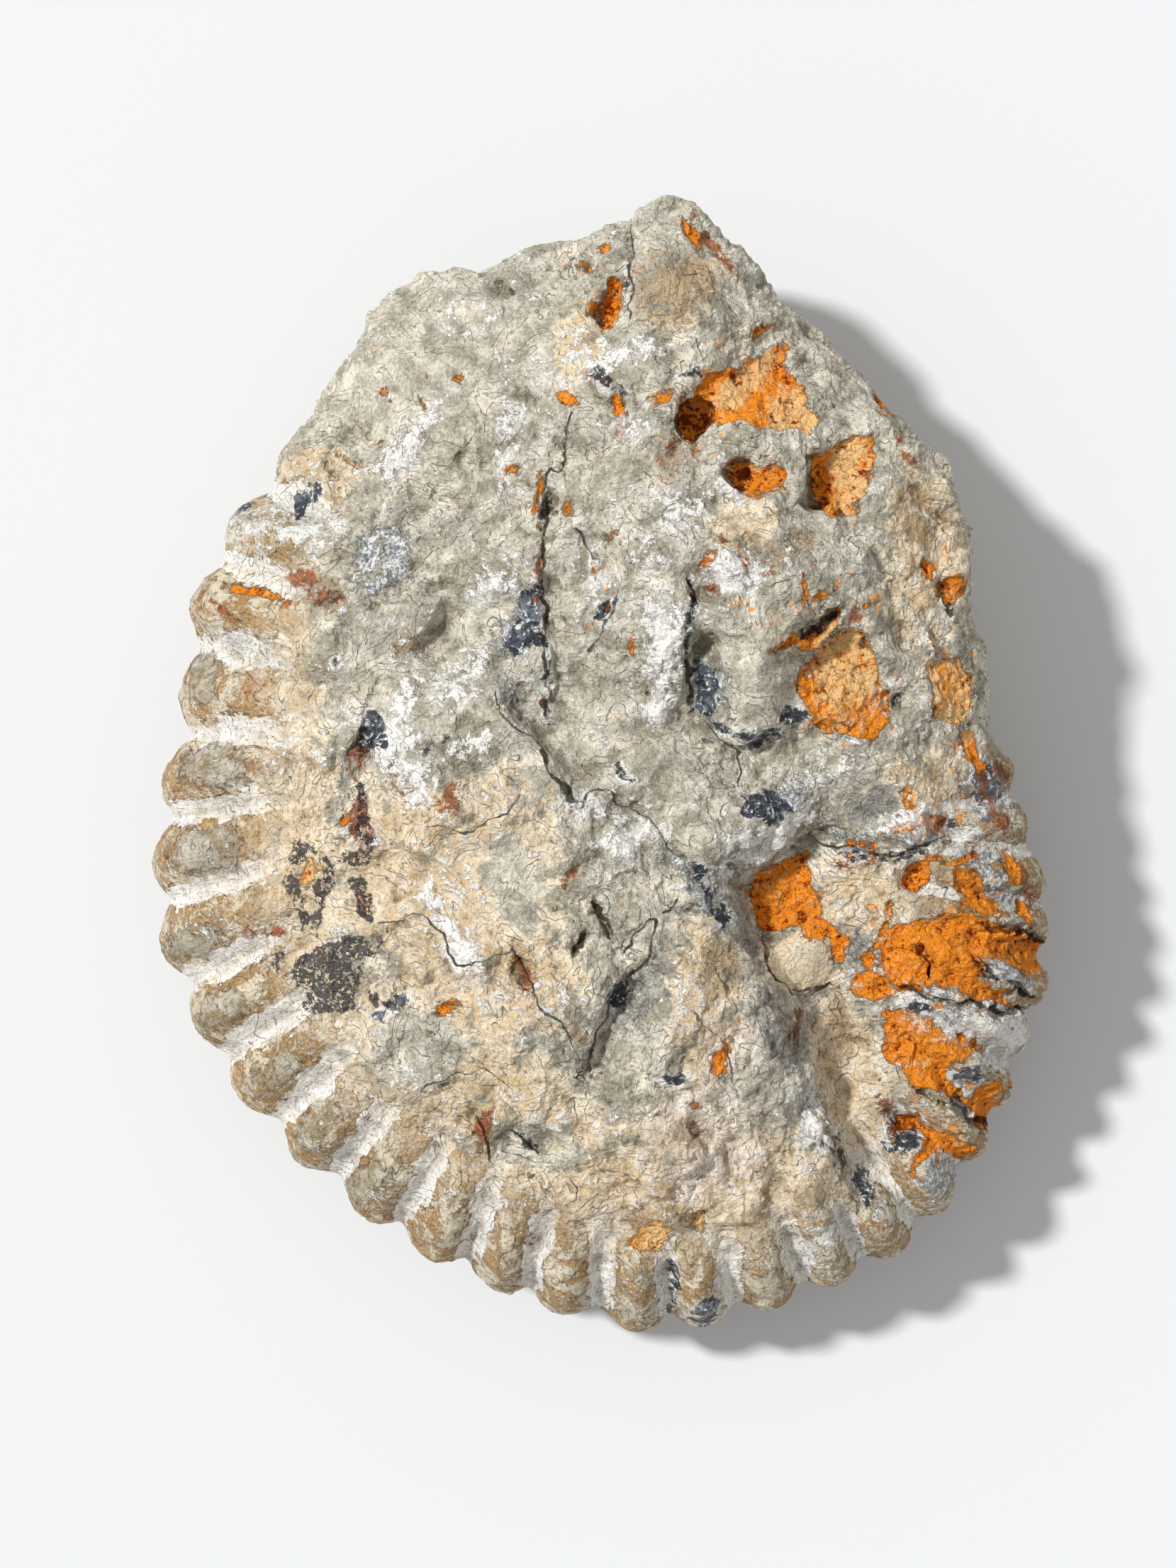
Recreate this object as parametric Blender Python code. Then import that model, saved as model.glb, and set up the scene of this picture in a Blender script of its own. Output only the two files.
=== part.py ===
"""Fossil ammonite: one lump of limestone with the ribbed outer whorl of the shell round its edge.

The stone lies on one flank. Seen from above, +Y is the pointed end of the stone, and the ribs
run from the upper left, round the bottom, to the right side. The upper flank is broken rock with
ledges, a long step and iron-stained pits. The flank that it lies on keeps the coil of the shell,
with its ribs worn flat where they touch the ground.

Lists are in millimetres, read from above, and MM turns them into Blender's metres.
"""

import math

import bmesh
import bpy
import numpy as np
from mathutils import Vector, noise

MM = 0.001

# How finely the stone is carved, how many faces it keeps, and the height under which a point of
# the thinned stone is pressed on to the ground
GRID_CUTS = 111
FACES_KEPT = 9200
FOOT_SNAP = 0.15

# Edge of the stone seen from above: the tips of the ribs, anticlockwise from the upper left
RIB_TIPS = [
    (-32.9, 33.2), (-38.9, 26.8), (-43.4, 18.0), (-44.2, 8.4), (-46.4, -1.0), (-47.4, -9.6),
    (-46.6, -19.0), (-43.4, -27.6), (-38.2, -35.2), (-32.2, -42.2), (-25.6, -47.6), (-18.4, -52.6),
    (-11.2, -55.6), (-4.0, -58.2), (4.0, -60.2), (11.0, -59.6), (18.8, -57.6), (25.8, -55.2),
    (31.6, -51.8), (37.0, -46.6), (41.4, -40.4), (43.9, -34.6), (45.4, -29.0), (47.5, -23.0),
    (47.4, -17.2), (47.0, -11.4), (44.9, -5.4), (43.2, 0.2),
]
# Edge of the stone where it is plain broken rock, anticlockwise from the right
PLAIN_EDGE = [
    (40.6, 5.0), (38.8, 10.5), (38.6, 16.0), (37.6, 22.5), (35.6, 28.2), (32.4, 33.4),
    (29.8, 37.6), (25.6, 42.0), (20.2, 46.4), (16.2, 50.8), (12.4, 54.8), (9.0, 57.4), (6.3, 58.9),
    (4.2, 56.4), (2.0, 55.6), (-1.0, 54.8), (-5.0, 54.0), (-9.6, 52.6), (-12.0, 51.2),
    (-16.0, 51.4), (-20.2, 49.9), (-23.8, 46.8), (-26.6, 43.2), (-28.2, 39.6), (-30.6, 36.6),
]
EDGE_STEP_DEGREES = 0.5
EDGE_ROUNDING_STEPS = 3

# Height of the widest line of the edge above the ground, by bearing in degrees from +X
RIM_HEIGHT = [(0, 19), (30, 23), (60, 25), (85, 27), (110, 23), (140, 18), (180, 14.5),
              (225, 12), (270, 11), (300, 11.5), (330, 13.5), (360, 19)]
# How square the stone's section is at each bearing: 1 is an ellipse and less is boxier
SECTION = [(0, 0.62), (40, 0.58), (85, 0.62), (120, 0.74), (180, 0.80), (230, 0.86),
           (280, 0.84), (320, 0.74), (360, 0.62)]

# Ribs: the bearings between which they fade in and out, and the point that they fan out from,
# which drifts with the bearing. Their crests widen into a knob near the edge.
RIBS_FADE_IN = (131.0, 139.0)
RIBS_FADE_OUT = (358.0, 368.0)
RIB_FAN_POINT = [(130, 6, 4), (180, 6, 2), (230, 4, 0), (270, 4, -2), (300, 6, -6), (330, 7, -9),
                 (360, 8, -9)]
RIB_GROOVE_DEPTH = [(130, 1.7), (160, 2.3), (300, 2.4), (325, 1.9), (345, 1.5), (368, 1.2)]
RIB_ROUNDNESS = 0.95
RIB_REACH_TOP = [(130, 9), (160, 11), (180, 12), (215, 13), (250, 12), (290, 9), (320, 13),
                 (340, 15), (362, 5)]
RIB_FADE = 5.0
# On the lower flank the ribs sweep forward, join in pairs and end at the navel of the coil
RIB_SWEEP = 0.035
RIBS_JOIN = (25.0, 36.0)
RIBS_END = (16.0, 21.0)
KNOB_INSET = 5.5
KNOB_LENGTH = 3.2
KNOB_HEIGHT = 1.0

# Broad swells of the upper flank over its plain level: x, y, x radius, y radius, rise
CROWN_LEVEL = 31.0
CROWN_SWELLS = [
    (16, 18, 22, 20, 9.0),
    (4, 44, 16, 12, 2.5),
    (2, -30, 18, 15, 5.5),
    (-14, -6, 15, 20, 4.0),
    (-27, 22, 10, 14, 1.5),
    (27, -29, 6, 12, -3.5),
    (38, -20, 8, 10, 1.5),
]

# The steps, ridges, pits and lumps of the upper flank are placed as they look from an arm's length
# above, where the crown looks this much larger than the edge
CROWN_LOOKS_LARGER = 1.04

# Steps in the upper flank, low on the right as one walks along: points, drop, face width, run-out
STEPS = [
    ([(29, -50), (26.5, -45), (23.5, -38), (20.6, -31), (18, -25), (14.8, -19), (11, -14), (8, -9)],
     4.8, 3.4, 11.0),
    ([(-2.4, -4.4), (-5.4, 1), (-8, 4), (-10.6, 7), (-11.2, 10)], 1.4, 1.3, 8.0),
    ([(9.6, 3), (8.9, 10), (9.2, 15), (9.8, 22)], 1.7, 1.3, 6.0),
    ([(9.6, 9), (11, 5.2), (14, 3.8), (18.5, 3.4), (22, 6.5)], 2.2, 1.3, 6.0),
    ([(15.5, 11.5), (19, 13), (22.5, 14), (26, 17.5)], 2.6, 1.6, 9.0),
    ([(-2.6, -34.5), (-1.6, -30), (-0.6, -27), (1.6, -22.5), (7, -19)], 2.0, 1.5, 6.0),
    ([(-6.0, 3), (-5.2, 9), (-6.2, 15), (-6.6, 21), (-6.4, 26), (-4.4, 31)], 1.0, 1.3, 7.0),
    ([(-20.4, 12.2), (-18.4, 15.6), (-16.8, 18.6)], 1.5, 1.3, 7.0),
    ([(3, 47.5), (3.6, 52), (3.4, 58)], -1.6, 1.6, 6.0),
    ([(36, -9), (29, -8.6), (24, -7), (21.5, -5.5)], -1.4, 1.3, 4.0),
    ([(12, -11.5), (17, -8.6), (22, -5)], 1.3, 1.6, 5.0),
]
# Share of its length over which a step or a ridge fades out at each end
LINE_TAPER = 0.18

# Ridges of rock on the upper flank: points, height, half width
RIDGES = [
    ([(8, -8), (13, -8.5), (19, -5.5), (24, -3.5)], 1.3, 2.8),
    ([(-24.5, 31), (-20, 35.5), (-16, 40)], 0.7, 1.8),
    ([(-28, 20), (-27.5, 8), (-28, -4)], 0.9, 3.0),
    ([(-5, 40.4), (-1, 41.6), (2.8, 39)], 0.7, 1.2),
    ([(8.2, -18), (9, -24), (9, -30)], 1.2, 2.6),
    ([(10.5, 19), (14, 16), (18, 12), (18.5, 7)], 1.2, 3.0),
    ([(6, 56), (9, 50), (15, 46)], 1.0, 2.5),
]

# Pits and hollows in the upper flank: x, y, long radius, short radius, bearing, depth
PITS = [
    (13.8, 39.6, 7.6, 3.6, 40, 1.5),
    (10.2, 37.2, 3.0, 2.4, 50, 1.9),
    (19.6, 37.9, 4.2, 2.1, -14, 1.0),
    (16.6, 31.2, 4.0, 2.4, -12, 2.2),
    (25.2, 30.8, 5.2, 3.6, 68, 2.4),
    (19.4, -13.6, 6.4, 5.0, -40, 1.0),
    (33.6, -11.4, 2.2, 2.0, 0, 1.8),
    (37.6, -6.4, 2.0, 1.5, -40, 2.4),
    (31.4, 7.4, 1.8, 1.4, 30, 2.2),
    (33.0, -38.2, 3.4, 2.0, -30, 2.6),
    (35.8, 20.0, 1.7, 2.2, 0, 1.8),
    (1.4, 49.6, 4.2, 1.7, 72, 2.2),
    (-10.6, 51.2, 2.4, 1.3, -40, 2.2),
    (-5.2, 28.2, 2.2, 1.1, 95, 2.0),
    (-13.5, 15.0, 6.5, 3.2, 15, 1.6),
    (3.0, -27.5, 6.5, 4.0, 80, 1.4),
    (-7.5, -40.4, 6.0, 2.6, 4, 1.2),
    (-24.4, 3.6, 2.6, 1.3, 60, 1.2),
    (-8.0, -22.6, 2.8, 1.3, -70, 1.3),
    (28.2, -4.4, 4.2, 3.4, 20, 0.8),
    (7.0, 33.0, 2.4, 1.3, 15, 0.8),
    (-39.5, 13.6, 3.0, 1.8, 0, 0.8),
    (24.8, -21.8, 3.2, 1.6, -50, 1.0),
]

# Lumps that stand out of the upper flank, by the same six numbers
LUMPS = [
    (21.4, -20.4, 4.4, 3.6, -20, 1.8),
    (16.4, 9.6, 5.0, 4.4, 40, 1.4),
    (12.4, 21.2, 2.6, 2.2, 0, 0.8),
    (37.4, 8.6, 3.4, 4.2, 0, 1.2),
    (3.0, -7.0, 3.2, 2.6, 20, 0.8),
    (-14.0, 49.0, 5.0, 4.0, 20, 1.0),
    (23.4, -46.0, 4.0, 5.0, 30, 1.4),
    (-31.5, -30.0, 3.2, 2.2, 20, 0.7),
]
# Where a pit or a lump starts and ends, in shares of its radius
MOUND_EDGE = (0.35, 1.15)
# How far a direction points up or down where the relief of each flank fades in, and where the ribs
# change from the fan of the upper flank to the coil of the lower one
FACING_UP = (0.08, 0.3)
FACING_DOWN = (0.3, 0.6)
RIBS_TURN_OVER = (-0.12, 0.12)

# Uneven surface of the broken rock: size of the unevenness and its height. The ribs keep a little
# of it, and the lower flank less than the upper one.
ROUGHNESS = [(17.0, 1.2), (7.0, 0.7), (3.4, 0.35)]
RIBS_ROUGHNESS = 0.15
UNDER_ROUGHNESS = 0.3
# Flat chips where the rock broke: how many, how steeply they lean, how blunt their edges are, and
# how much of them is left on the upper flank
CHIP_COUNT = 620
CHIP_LEAN = 0.17
CHIP_BLUNT = 3.0
CHIP_SEED = 5
CHIP_TOP_SHARE = 0.45
CHIPS_FADE = (0.3, 0.6)

# The coil on the flank that the stone lies on: a navel whose wall stands between two radii, with
# whorls that grow by a share at each turn, parted by seams, and ribs on all but the innermost
COIL_CENTRE = (-3.0, -5.0)
NAVEL_RADIUS = 17.0
NAVEL_WALL = (14.0, 19.0)
NAVEL_DEPTH = 5.5
NAVEL_DEPTH_LOST = 0.6
WHORL_GROWTH = 2.0
WHORL_SEAM_DEPTH = 2.6
WHORL_SEAM_SHARPNESS = 0.6
WHORL_SEAM_FROM = (1.5, 4.5)
NAVEL_RIBS_PER_TURN = 20
NAVEL_RIB_DEPTH = 0.9
NAVEL_RIBS_FROM = (6.0, 10.0)
# How far the lower flank would bulge below the ground, which presses it flat
UNDER_SINK = 1.3


def smoothstep(low, high, value):
    """0 below low, 1 above high and an even bend between them."""
    share = np.clip((value - low) / (high - low), 0.0, 1.0)
    return share * share * (3.0 - 2.0 * share)


def by_bearing(rows, bearing):
    """Reads a list of bearings in degrees and values, at bearings in radians."""
    return np.interp(np.degrees(bearing) % 360.0, *zip(*rows))


def edge_radius(bearing):
    """Distance from the middle to the edge at each bearing, with its corners a little rounded."""
    edge = np.array(RIB_TIPS + PLAIN_EDGE)
    bends = np.degrees(np.arctan2(edge[:, 1], edge[:, 0]))
    steps = np.arange(0.0, 360.0, EDGE_STEP_DEGREES)
    around = np.interp(steps, bends, np.hypot(*edge.T), period=360.0)
    shifts = range(-EDGE_ROUNDING_STEPS, EDGE_ROUNDING_STEPS + 1)
    rounded = sum(np.roll(around, shift) for shift in shifts) / len(shifts)
    return np.interp(np.degrees(bearing), steps, rounded, period=360.0)


def rib_bearing(x, y):
    """Bearing in degrees, from 40 to 400, so that it has no jump on the ribbed stretch."""
    return (np.degrees(np.arctan2(y, x)) - 40.0) % 360.0 + 40.0


def fan_bearing(x, y):
    """Bearing seen from the point that the ribs near there fan out from."""
    bearings, fan_x, fan_y = zip(*RIB_FAN_POINT)
    along = rib_bearing(x, y)
    return rib_bearing(x - np.interp(along, bearings, fan_x), y - np.interp(along, bearings, fan_y))


def coil_bearing(x, y):
    """Bearing seen from the centre of the coil."""
    return rib_bearing(x - COIL_CENTRE[0], y - COIL_CENTRE[1])


def rib_count(x, y, upper):
    """Number of the rib at each point: whole on a crest, and half-way between on a groove."""
    tips = np.array(RIB_TIPS).T
    numbers = np.arange(len(RIB_TIPS))
    above = np.interp(fan_bearing(x, y), fan_bearing(*tips), numbers)
    below = np.interp(coil_bearing(x, y), coil_bearing(*tips), numbers)
    return above * upper + below * (1.0 - upper)


def rib_relief(x, y, inset, uz):
    """Height of the ribs out of the surface, and how far each point belongs to them, 0 to 1."""
    along = rib_bearing(x, y)
    upper = uz > 0.0
    from_coil = np.hypot(x - COIL_CENTRE[0], y - COIL_CENTRE[1])
    count = rib_count(x, y, smoothstep(*RIBS_TURN_OVER, uz))
    count += np.where(upper, 0.0, RIB_SWEEP * inset)
    single = np.abs(np.cos(math.pi * count)) ** RIB_ROUNDNESS
    paired = np.abs(np.cos(math.pi * count / 2.0)) ** RIB_ROUNDNESS
    joined = np.where(upper, 0.0, 1.0 - smoothstep(*RIBS_JOIN, from_coil))
    crest = single + (paired - single) * joined
    span = np.interp(along, *zip(*RIB_REACH_TOP))
    reach_top = 1.0 - smoothstep(span - RIB_FADE, span + RIB_FADE, inset)
    ribbed = np.where(upper, reach_top, smoothstep(*RIBS_END, from_coil))
    ribbed *= smoothstep(*RIBS_FADE_IN, along) * (1.0 - smoothstep(*RIBS_FADE_OUT, along))
    knob = np.exp(-(((inset - KNOB_INSET) / KNOB_LENGTH) ** 2)) * crest**3
    groove = np.interp(along, *zip(*RIB_GROOVE_DEPTH))
    return ribbed * (KNOB_HEIGHT * knob - groove * (1.0 - crest)), ribbed


def along_line(x, y, points):
    """Distance from a line through points, negative on its left, and the fade at its two ends."""
    points = np.array(points, float)
    lengths = np.hypot(*np.diff(points, axis=0).T)
    starts = np.concatenate([[0.0], np.cumsum(lengths)])
    nearest = np.full(x.shape, 1e9)
    side = np.zeros(x.shape)
    run = np.zeros(x.shape)
    for (ax, ay), (bx, by), length, start in zip(points, points[1:], lengths, starts):
        dx, dy = (bx - ax) / length, (by - ay) / length
        travel = np.clip((x - ax) * dx + (y - ay) * dy, 0.0, length)
        off_x, off_y = x - ax - travel * dx, y - ay - travel * dy
        distance = np.hypot(off_x, off_y)
        closer = distance < nearest
        nearest = np.where(closer, distance, nearest)
        side = np.where(closer, np.sign(off_x * dy - off_y * dx), side)
        run = np.where(closer, start + travel, run)
    taper = LINE_TAPER * starts[-1]
    ends = smoothstep(0.0, taper, run) * smoothstep(0.0, taper, starts[-1] - run)
    return nearest * side, ends


def mound(x, y, row):
    """A soft mound, 1 in its middle: x, y, long radius, short radius, bearing."""
    centre_x, centre_y, long_radius, short_radius, bearing = row[:5]
    turn = math.radians(bearing)
    dx, dy = x - centre_x, y - centre_y
    u = (dx * math.cos(turn) + dy * math.sin(turn)) / long_radius
    v = (dy * math.cos(turn) - dx * math.sin(turn)) / short_radius
    return 1.0 - smoothstep(*MOUND_EDGE, np.hypot(u, v))


def crown_height(x, y):
    """Height of the upper flank before it is broken."""
    height = np.full(x.shape, CROWN_LEVEL)
    for centre_x, centre_y, radius_x, radius_y, rise in CROWN_SWELLS:
        distance = ((x - centre_x) / radius_x) ** 2 + ((y - centre_y) / radius_y) ** 2
        height += rise * np.exp(-distance)
    return height


def broken_relief(x, y):
    """Steps, ridges, pits and lumps of the upper flank, as a change of height."""
    x, y = x * CROWN_LOOKS_LARGER, y * CROWN_LOOKS_LARGER
    change = np.zeros(x.shape)
    for points, drop, face, run_out in STEPS:
        side, ends = along_line(x, y, points)
        fall = smoothstep(0.0, face, side) * np.exp(-np.maximum(side - face, 0.0) / run_out)
        change -= drop * fall * ends
    for points, height, half_width in RIDGES:
        side, ends = along_line(x, y, points)
        change += height * np.exp(-((side / half_width) ** 2)) * ends
    for row in PITS:
        change -= row[5] * mound(x, y, row)
    for row in LUMPS:
        change += row[5] * mound(x, y, row)
    return change


def coil_relief(x, y):
    """The coil of the lower flank, as a rise from the ground into the stone."""
    dx, dy = x - COIL_CENTRE[0], y - COIL_CENTRE[1]
    distance = np.maximum(np.hypot(dx, dy), WHORL_SEAM_FROM[0])
    bearing = np.arctan2(dy, dx)
    turn = np.log(distance / NAVEL_RADIUS) / math.log(WHORL_GROWTH) - bearing / (2 * math.pi)
    seam = 1.0 - np.abs(np.sin(math.pi * turn)) ** WHORL_SEAM_SHARPNESS
    rib = 0.5 + 0.5 * np.cos(NAVEL_RIBS_PER_TURN * bearing)
    bowl = NAVEL_DEPTH * (1.0 - NAVEL_DEPTH_LOST * distance / NAVEL_RADIUS)
    bowl += WHORL_SEAM_DEPTH * seam * smoothstep(*WHORL_SEAM_FROM, distance)
    bowl += NAVEL_RIB_DEPTH * rib * smoothstep(*NAVEL_RIBS_FROM, distance)
    return bowl * (1.0 - smoothstep(*NAVEL_WALL, distance))


def uneven(points):
    """Smooth unevenness of the rock in three sizes, in millimetres."""
    total = np.zeros(len(points))
    for index, (size, height) in enumerate(ROUGHNESS):
        shift = Vector((11.3 * index, -7.1 * index, 3.7))
        total += height * np.array([noise.noise(Vector(p) / size + shift) for p in points])
    return total


def chipped(points):
    """Lean of the flat chip that each point is on, in millimetres out of the surface."""
    random = np.random.default_rng(CHIP_SEED)
    middles = points[random.choice(len(points), CHIP_COUNT, replace=False)]
    leans = random.normal(0.0, CHIP_LEAN, (CHIP_COUNT, 3))
    gaps = (points**2).sum(axis=1)[:, None] - 2.0 * points @ middles.T + (middles**2).sum(axis=1)
    share = np.exp((gaps.min(axis=1, keepdims=True) - gaps) / CHIP_BLUNT)
    lift = points @ leans.T - (middles * leans).sum(axis=1)
    return (share * lift).sum(axis=1) / share.sum(axis=1)


def shape_stone(direction):
    """Turns unit directions from the middle of the stone into points of its surface, in mm."""
    ux, uy, uz = direction.T
    bearing = np.arctan2(uy, ux)
    flat = np.clip(np.hypot(ux, uy), 0.0, 1.0)
    section = by_bearing(SECTION, bearing)
    radius = edge_radius(bearing)
    reach = radius * flat**section
    x, y = reach * np.cos(bearing), reach * np.sin(bearing)
    rim = by_bearing(RIM_HEIGHT, bearing)
    lift = np.abs(uz) ** section
    upper = uz > 0.0
    z = np.where(upper, rim + (crown_height(x, y) - rim) * lift, rim - (rim + UNDER_SINK) * lift)

    points = np.stack([x, y, z], axis=1)
    relief, ribbed = rib_relief(x, y, radius - reach, uz)
    broken = np.clip(1.0 - ribbed, RIBS_ROUGHNESS, 1.0) * np.where(upper, 1.0, UNDER_ROUGHNESS)
    on_side = CHIP_TOP_SHARE + (1.0 - CHIP_TOP_SHARE) * (1.0 - smoothstep(*CHIPS_FADE, uz))
    relief += (uneven(points) + chipped(points) * on_side) * broken
    points += direction * relief[:, None]

    facing_up = smoothstep(*FACING_UP, uz)
    facing_down = smoothstep(*FACING_DOWN, -uz)
    x, y = points[:, 0], points[:, 1]
    points[:, 2] += broken_relief(x, y) * facing_up + coil_relief(x, y) * facing_down
    points[:, 2] = np.maximum(points[:, 2], 0.0)
    return points


def round_block():
    """A cube cut into a fine grid, with each point as a direction from its middle."""
    block = bmesh.new()
    bmesh.ops.create_cube(block, size=2.0)
    bmesh.ops.subdivide_edges(block, edges=block.edges[:], cuts=GRID_CUTS, use_grid_fill=True)
    corners = np.array([v.co for v in block.verts])
    evened = np.tan(corners * math.pi / 4.0)
    return block, evened / np.linalg.norm(evened, axis=1, keepdims=True)


def limestone():
    """Pale grey limestone with a warm cast."""
    material = bpy.data.materials.new("limestone")
    material.use_nodes = True
    shader = material.node_tree.nodes["Principled BSDF"]
    shader.inputs["Base Color"].default_value = (0.42, 0.37, 0.29, 1.0)
    shader.inputs["Roughness"].default_value = 0.9
    shader.inputs["Metallic"].default_value = 0.0
    return material


def thin_faces(stone, share):
    """Keeps a share of the faces, then presses the foot of the stone flat on the ground again."""
    thin = stone.modifiers.new("thin", "DECIMATE")
    thin.ratio = share
    thinned = bpy.data.meshes.new_from_object(
        stone.evaluated_get(bpy.context.evaluated_depsgraph_get()))
    full = stone.data
    stone.modifiers.remove(thin)
    stone.data = thinned
    bpy.data.meshes.remove(full)
    thinned.name = stone.name
    for vertex in thinned.vertices:
        if vertex.co.z < FOOT_SNAP * MM:
            vertex.co.z = 0.0


def make_stone():
    """Carves the stone, sets its middle over the origin and thins its faces."""
    block, direction = round_block()
    points = shape_stone(direction)
    low, high = points.min(axis=0), points.max(axis=0)
    points -= [(low[0] + high[0]) / 2.0, (low[1] + high[1]) / 2.0, low[2]]
    for vertex, place in zip(block.verts, points * MM):
        vertex.co = place
    bmesh.ops.recalc_face_normals(block, faces=block.faces[:])
    bmesh.ops.triangulate(block, faces=block.faces[:])
    mesh = bpy.data.meshes.new("fossil_ammonite")
    block.to_mesh(mesh)
    faces = len(block.faces)
    block.free()
    stone = bpy.data.objects.new("fossil_ammonite", mesh)
    bpy.context.scene.collection.objects.link(stone)
    mesh.materials.append(limestone())
    thin_faces(stone, FACES_KEPT / faces)


for old in list(bpy.data.objects):
    bpy.data.objects.remove(old)
make_stone()
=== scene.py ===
"""Looks of a fossil ammonite: a lump of grey limestone with the ribbed outer whorl of the shell
round its edge, and hollows where the iron in it has rusted bright orange.

Lists of places are in millimetres, as the stone looks from the camera above it.
"""

import math

import bmesh
import bpy
import numpy as np
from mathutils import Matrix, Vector, kdtree, noise


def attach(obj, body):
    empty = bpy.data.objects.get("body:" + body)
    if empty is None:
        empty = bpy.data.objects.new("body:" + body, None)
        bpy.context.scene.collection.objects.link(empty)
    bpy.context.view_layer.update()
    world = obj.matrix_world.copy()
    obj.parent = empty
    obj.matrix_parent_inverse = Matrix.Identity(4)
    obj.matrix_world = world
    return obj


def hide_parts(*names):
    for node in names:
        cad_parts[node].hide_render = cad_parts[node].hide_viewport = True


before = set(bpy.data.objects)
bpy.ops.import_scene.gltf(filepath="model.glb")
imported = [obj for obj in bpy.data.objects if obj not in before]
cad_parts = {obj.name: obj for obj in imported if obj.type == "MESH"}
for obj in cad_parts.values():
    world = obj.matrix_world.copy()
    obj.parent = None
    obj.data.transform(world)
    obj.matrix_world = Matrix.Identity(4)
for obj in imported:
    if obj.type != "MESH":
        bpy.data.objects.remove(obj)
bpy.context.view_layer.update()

# The lump. It is one piece of limestone, split from its bed, so its skin is a fine grid carved
# from the solid of the frame with the facets of that solid worn off.
MM = 0.001
SAME_POINT = 0.002
CARVING_GRID = 0.42
FACET_WEAR_ROUNDS, FACET_WEAR_SHARE = 9, 0.5

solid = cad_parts["fossil_ammonite"]
block = bmesh.new()
block.from_mesh(solid.data)
bmesh.ops.remove_doubles(block, verts=block.verts, dist=SAME_POINT * MM)
stone_mesh = bpy.data.meshes.new("ammonite_stone")
block.to_mesh(stone_mesh)
block.free()
stone = bpy.data.objects.new("ammonite_stone", stone_mesh)
bpy.context.scene.collection.objects.link(stone)


def settle(piece, **modifiers):
    """Adds modifiers to a piece, each as its type and settings, and makes their result its mesh."""
    for name, (kind, settings) in modifiers.items():
        modifier = piece.modifiers.new(name, kind)
        for key, value in settings.items():
            setattr(modifier, key, value)
    graph = bpy.context.evaluated_depsgraph_get()
    settled = bpy.data.meshes.new_from_object(piece.evaluated_get(graph))
    piece.modifiers.clear()
    piece.data = settled


settle(stone,
       grid=("REMESH", {"mode": "VOXEL", "voxel_size": CARVING_GRID * MM}),
       wear=("SMOOTH", {"factor": FACET_WEAR_SHARE, "iterations": FACET_WEAR_ROUNDS}))


def places(mesh):
    """Places of a mesh's points, in millimetres."""
    flat = np.empty(len(mesh.vertices) * 3, np.float32)
    mesh.vertices.foreach_get("co", flat)
    return flat.reshape(-1, 3).astype(float) / MM


def outward(mesh):
    """Outward direction at each of a mesh's points."""
    flat = np.empty(len(mesh.vertices) * 3, np.float32)
    mesh.vertex_normals.foreach_get("vector", flat)
    return flat.reshape(-1, 3).astype(float)


def carve(mesh, points):
    """Moves a mesh's points to places in millimetres."""
    mesh.vertices.foreach_set("co", (points * MM).astype(np.float32).ravel())
    mesh.update()


# Ribs of the outer whorl. They run from the upper left round the bottom to the right side, a tip
# for each on the edge, and fan out from a point that drifts with the bearing.
# The camera's place, the height at which the lists are true, and how far their middle lies off
EYE = (-1.30, -0.91, 420.0)
TRUE_HEIGHT = 18.0
MIDDLE = (0.06, -0.63)
RIB_TIPS = [
    (-32.9, 33.2), (-38.9, 26.8), (-43.4, 18.0), (-44.2, 8.4), (-46.4, -1.0), (-47.4, -9.6),
    (-46.6, -19.0), (-43.4, -27.6), (-38.2, -35.2), (-32.2, -42.2), (-25.6, -47.6), (-18.4, -52.6),
    (-11.2, -55.6), (-4.0, -58.2), (4.0, -60.2), (11.0, -59.6), (18.8, -57.6), (25.8, -55.2),
    (31.6, -51.8), (37.0, -46.6), (41.4, -40.4), (43.9, -34.6), (45.4, -29.0), (47.5, -23.0),
    (47.4, -17.2), (47.0, -11.4), (44.9, -5.4), (43.2, 0.2),
]
# Bearing in degrees, then x and y of the point that the ribs fan out from there
RIB_FAN_POINT = [(130, 6, 4), (180, 6, 2), (230, 4, 0), (270, 4, -2), (300, 6, -6), (330, 7, -9),
                 (360, 8, -9)]
# Bearing, then how far in from the edge the ribs reach there
RIB_REACH = [(130, 9), (160, 11), (180, 12), (215, 13), (250, 12), (290, 9), (320, 13), (340, 15),
             (362, 5)]
RIB_FADE = 5.0
RIBS_START, RIBS_END = (131, 139), (358, 368)
BEARING_START = 40.0


def seen_from_above(points):
    """Where each point looks to be, in the millimetres of the lists."""
    nearer = (EYE[2] - TRUE_HEIGHT) / (EYE[2] - points[:, 2])
    x = EYE[0] + (points[:, 0] - EYE[0]) * nearer + MIDDLE[0]
    y = EYE[1] + (points[:, 1] - EYE[1]) * nearer + MIDDLE[1]
    return x, y


def bend(value, low, high):
    """0 at low, 1 at high and an even bend between them."""
    share = np.clip((value - low) / (high - low), 0.0, 1.0)
    return share * share * (3.0 - 2.0 * share)


def rib_bearing(x, y):
    """Bearing in degrees, counted from a bare stretch, so that it has no jump among the ribs."""
    return (np.degrees(np.arctan2(y, x)) - BEARING_START) % 360.0 + BEARING_START


def fan_bearing(x, y):
    """Bearing seen from the point that the ribs near there fan out from."""
    bearings, fan_x, fan_y = zip(*RIB_FAN_POINT)
    along = rib_bearing(x, y)
    return rib_bearing(x - np.interp(along, bearings, fan_x), y - np.interp(along, bearings, fan_y))


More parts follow.
